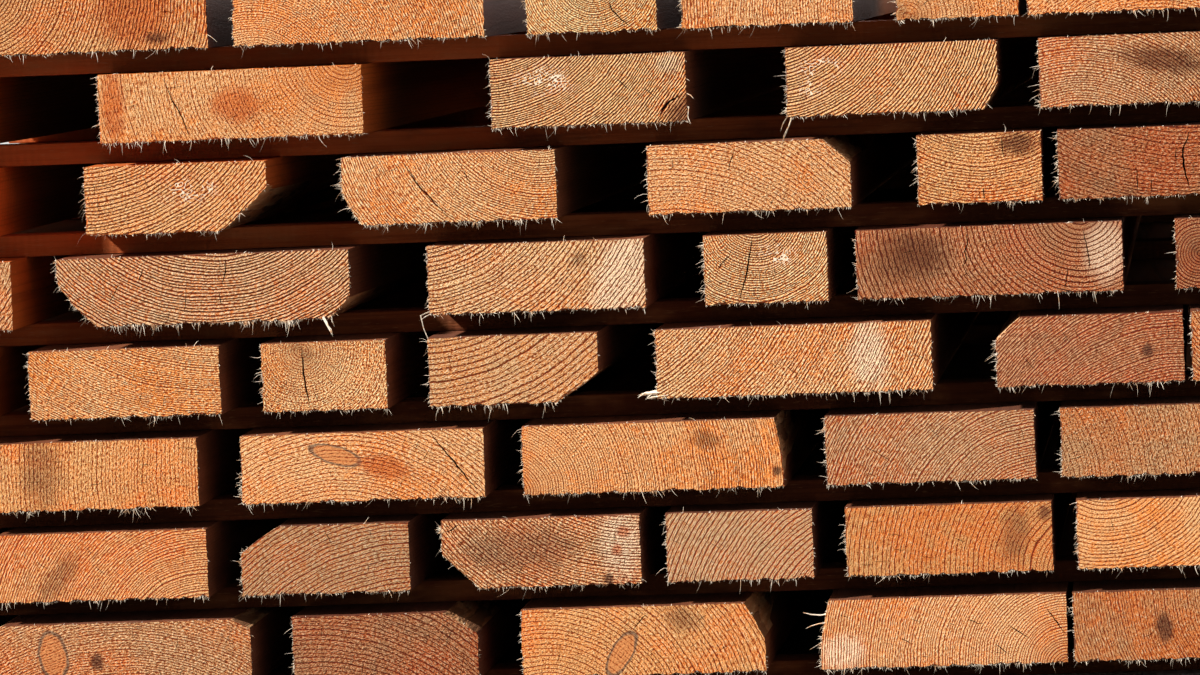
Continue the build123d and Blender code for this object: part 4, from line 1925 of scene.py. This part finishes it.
@dataclass
class Studio:
    """The floor, the light and the camera round the stack.

    Attributes:
        eye: Where the camera stands.
        target: What it looks at, on the front of the stack.
        roll: How far it is turned clockwise, in degrees.
        lens: Its focal length on a sensor 36 mm wide.
    """

    eye: Tuple[float, float, float] = (0.4731, -6.1259, 0.5274)
    target: Tuple[float, float, float] = (0.0328, -1.5, 0.2600)
    roll: float = 2.3375
    lens: float = 195.0

    def camera(self) -> None:
        """Stand the camera at the photograph's angle."""
        data = bpy.data.cameras.new("photo_camera")
        data.lens = self.lens
        data.sensor_width = 36.0
        data.clip_start, data.clip_end = 0.1, 200.0
        camera = put("photo_camera", data)
        forward = (Vector(self.target) - Vector(self.eye)).normalized()
        level = forward.to_track_quat("-Z", "Y").to_matrix()
        turned = level @ Matrix.Rotation(math.radians(-self.roll), 3, "Z")
        camera.matrix_world = Matrix.Translation(Vector(self.eye)) @ turned.to_4x4()
        bpy.context.scene.camera = camera
        bpy.context.scene.view_settings.view_transform = "Standard"

    def _sun(
        self, name: str, towards: Tuple[float, float], strength: float, soft: float, colour: Colour
    ) -> None:
        """Hang a soft far lamp.

        Args:
            name: Its name.
            towards: How far it stands to the right of the front and above the floor, in degrees.
            strength: How strong it is.
            soft: How wide it looks, in degrees.
            colour: Its colour.
        """
        data = bpy.data.lights.new(name, "SUN")
        data.energy = strength
        data.angle = math.radians(soft)
        data.color = colour
        lamp = put(name, data)
        side, high = math.radians(towards[0]), math.radians(towards[1])
        back = Vector((math.sin(side) * math.cos(high), -math.cos(side) * math.cos(high), math.sin(high)))
        lamp.rotation_euler = back.to_track_quat("Z", "Y").to_euler()
        lamp.location = back * LAMP_DISTANCE

    def lights(self) -> None:
        """Light the stack from its upper left, with weak fills from the right and behind."""
        warm, mild = (1.0, 0.97, 0.93), (1.0, 0.98, 0.95)
        self._sun("key_lamp", (-54.0, 40.0), 6.9, 4.0, warm)
        self._sun("front_lamp", (36.0, 10.0), 0.28, 40.0, warm)
        self._sun("rear_lamp", (165.0, 22.0), 1.8, 25.0, mild)
        self._sun("side_lamp", (104.0, 18.0), 1.7, 25.0, warm)
        world = bpy.data.worlds.new("studio")
        bpy.context.scene.world = world
        graph = Graph("studio", world)
        lit, shown = 0.05, 0.92
        strength = graph.seen() * (shown - lit) + lit
        colour = rgba((0.96, 0.94, 0.91))
        sky = graph.node("ShaderNodeBackground", {}, {"Color": colour, "Strength": strength})
        graph.node("ShaderNodeOutputWorld", {}, {"Surface": sky.outputs[0]})

    def floor(self) -> None:
        """Lay the pale floor under the stack."""
        mesh = bpy.data.meshes.new("studio_floor")
        corners = [(-1, -1), (1, -1), (1, 1), (-1, 1)]
        mesh.from_pydata([(x * FLOOR_REACH, y * FLOOR_REACH, 0.0) for x, y in corners], [], [(0, 1, 2, 3)])
        graph = Graph("studio_floor")
        place = graph.place(ORIGIN)
        patches = graph.noise(place, 900.0, 2.0)
        colour = graph.paint((0.46, 0.455, 0.445), (0.49, 0.485, 0.475), patches)
        colour = graph.paint((0.20, 0.19, 0.18), colour, graph.seen())
        mesh.materials.append(graph.finish(colour, 0.9 - patches * 0.1, patches, 0.1, shine=0.0))
        floor = put("studio_floor", mesh)


def corners_of(node: str) -> Tuple[np.ndarray, np.ndarray]:
    """Give a CAD node's lowest and highest corner in millimetres."""
    low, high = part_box(node)
    return np.array(low) / METRES, np.array(high) / METRES


def main() -> None:
    """Build the studio, the boards and the stickers, in that order."""
    logging.basicConfig(level=logging.INFO, format="%(name)s: %(message)s")
    studio = Studio()
    studio.camera()
    studio.lights()
    studio.floor()
    shared = {finish: finish.make() for finish in SharedFinish}
    number = 0
    for layer, grains in enumerate(LAYERS, start=1):
        for place, grain in enumerate(grains, start=1):
            node = f"layer_{layer}_board_{place}"
            piece = SawnBoard(node, grain, *corners_of(node), number).build(shared)
            LOG.info("%s has %d triangles", piece.name, len(piece.data.polygons))
            number += 1
    for number, name in enumerate(sorted(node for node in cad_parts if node.startswith("stickers_"))):
        piece = StickerRow(name, number).build(shared)
        LOG.info("%s has %d triangles", piece.name, len(piece.data.polygons))


if __name__ == "__main__":
    main()
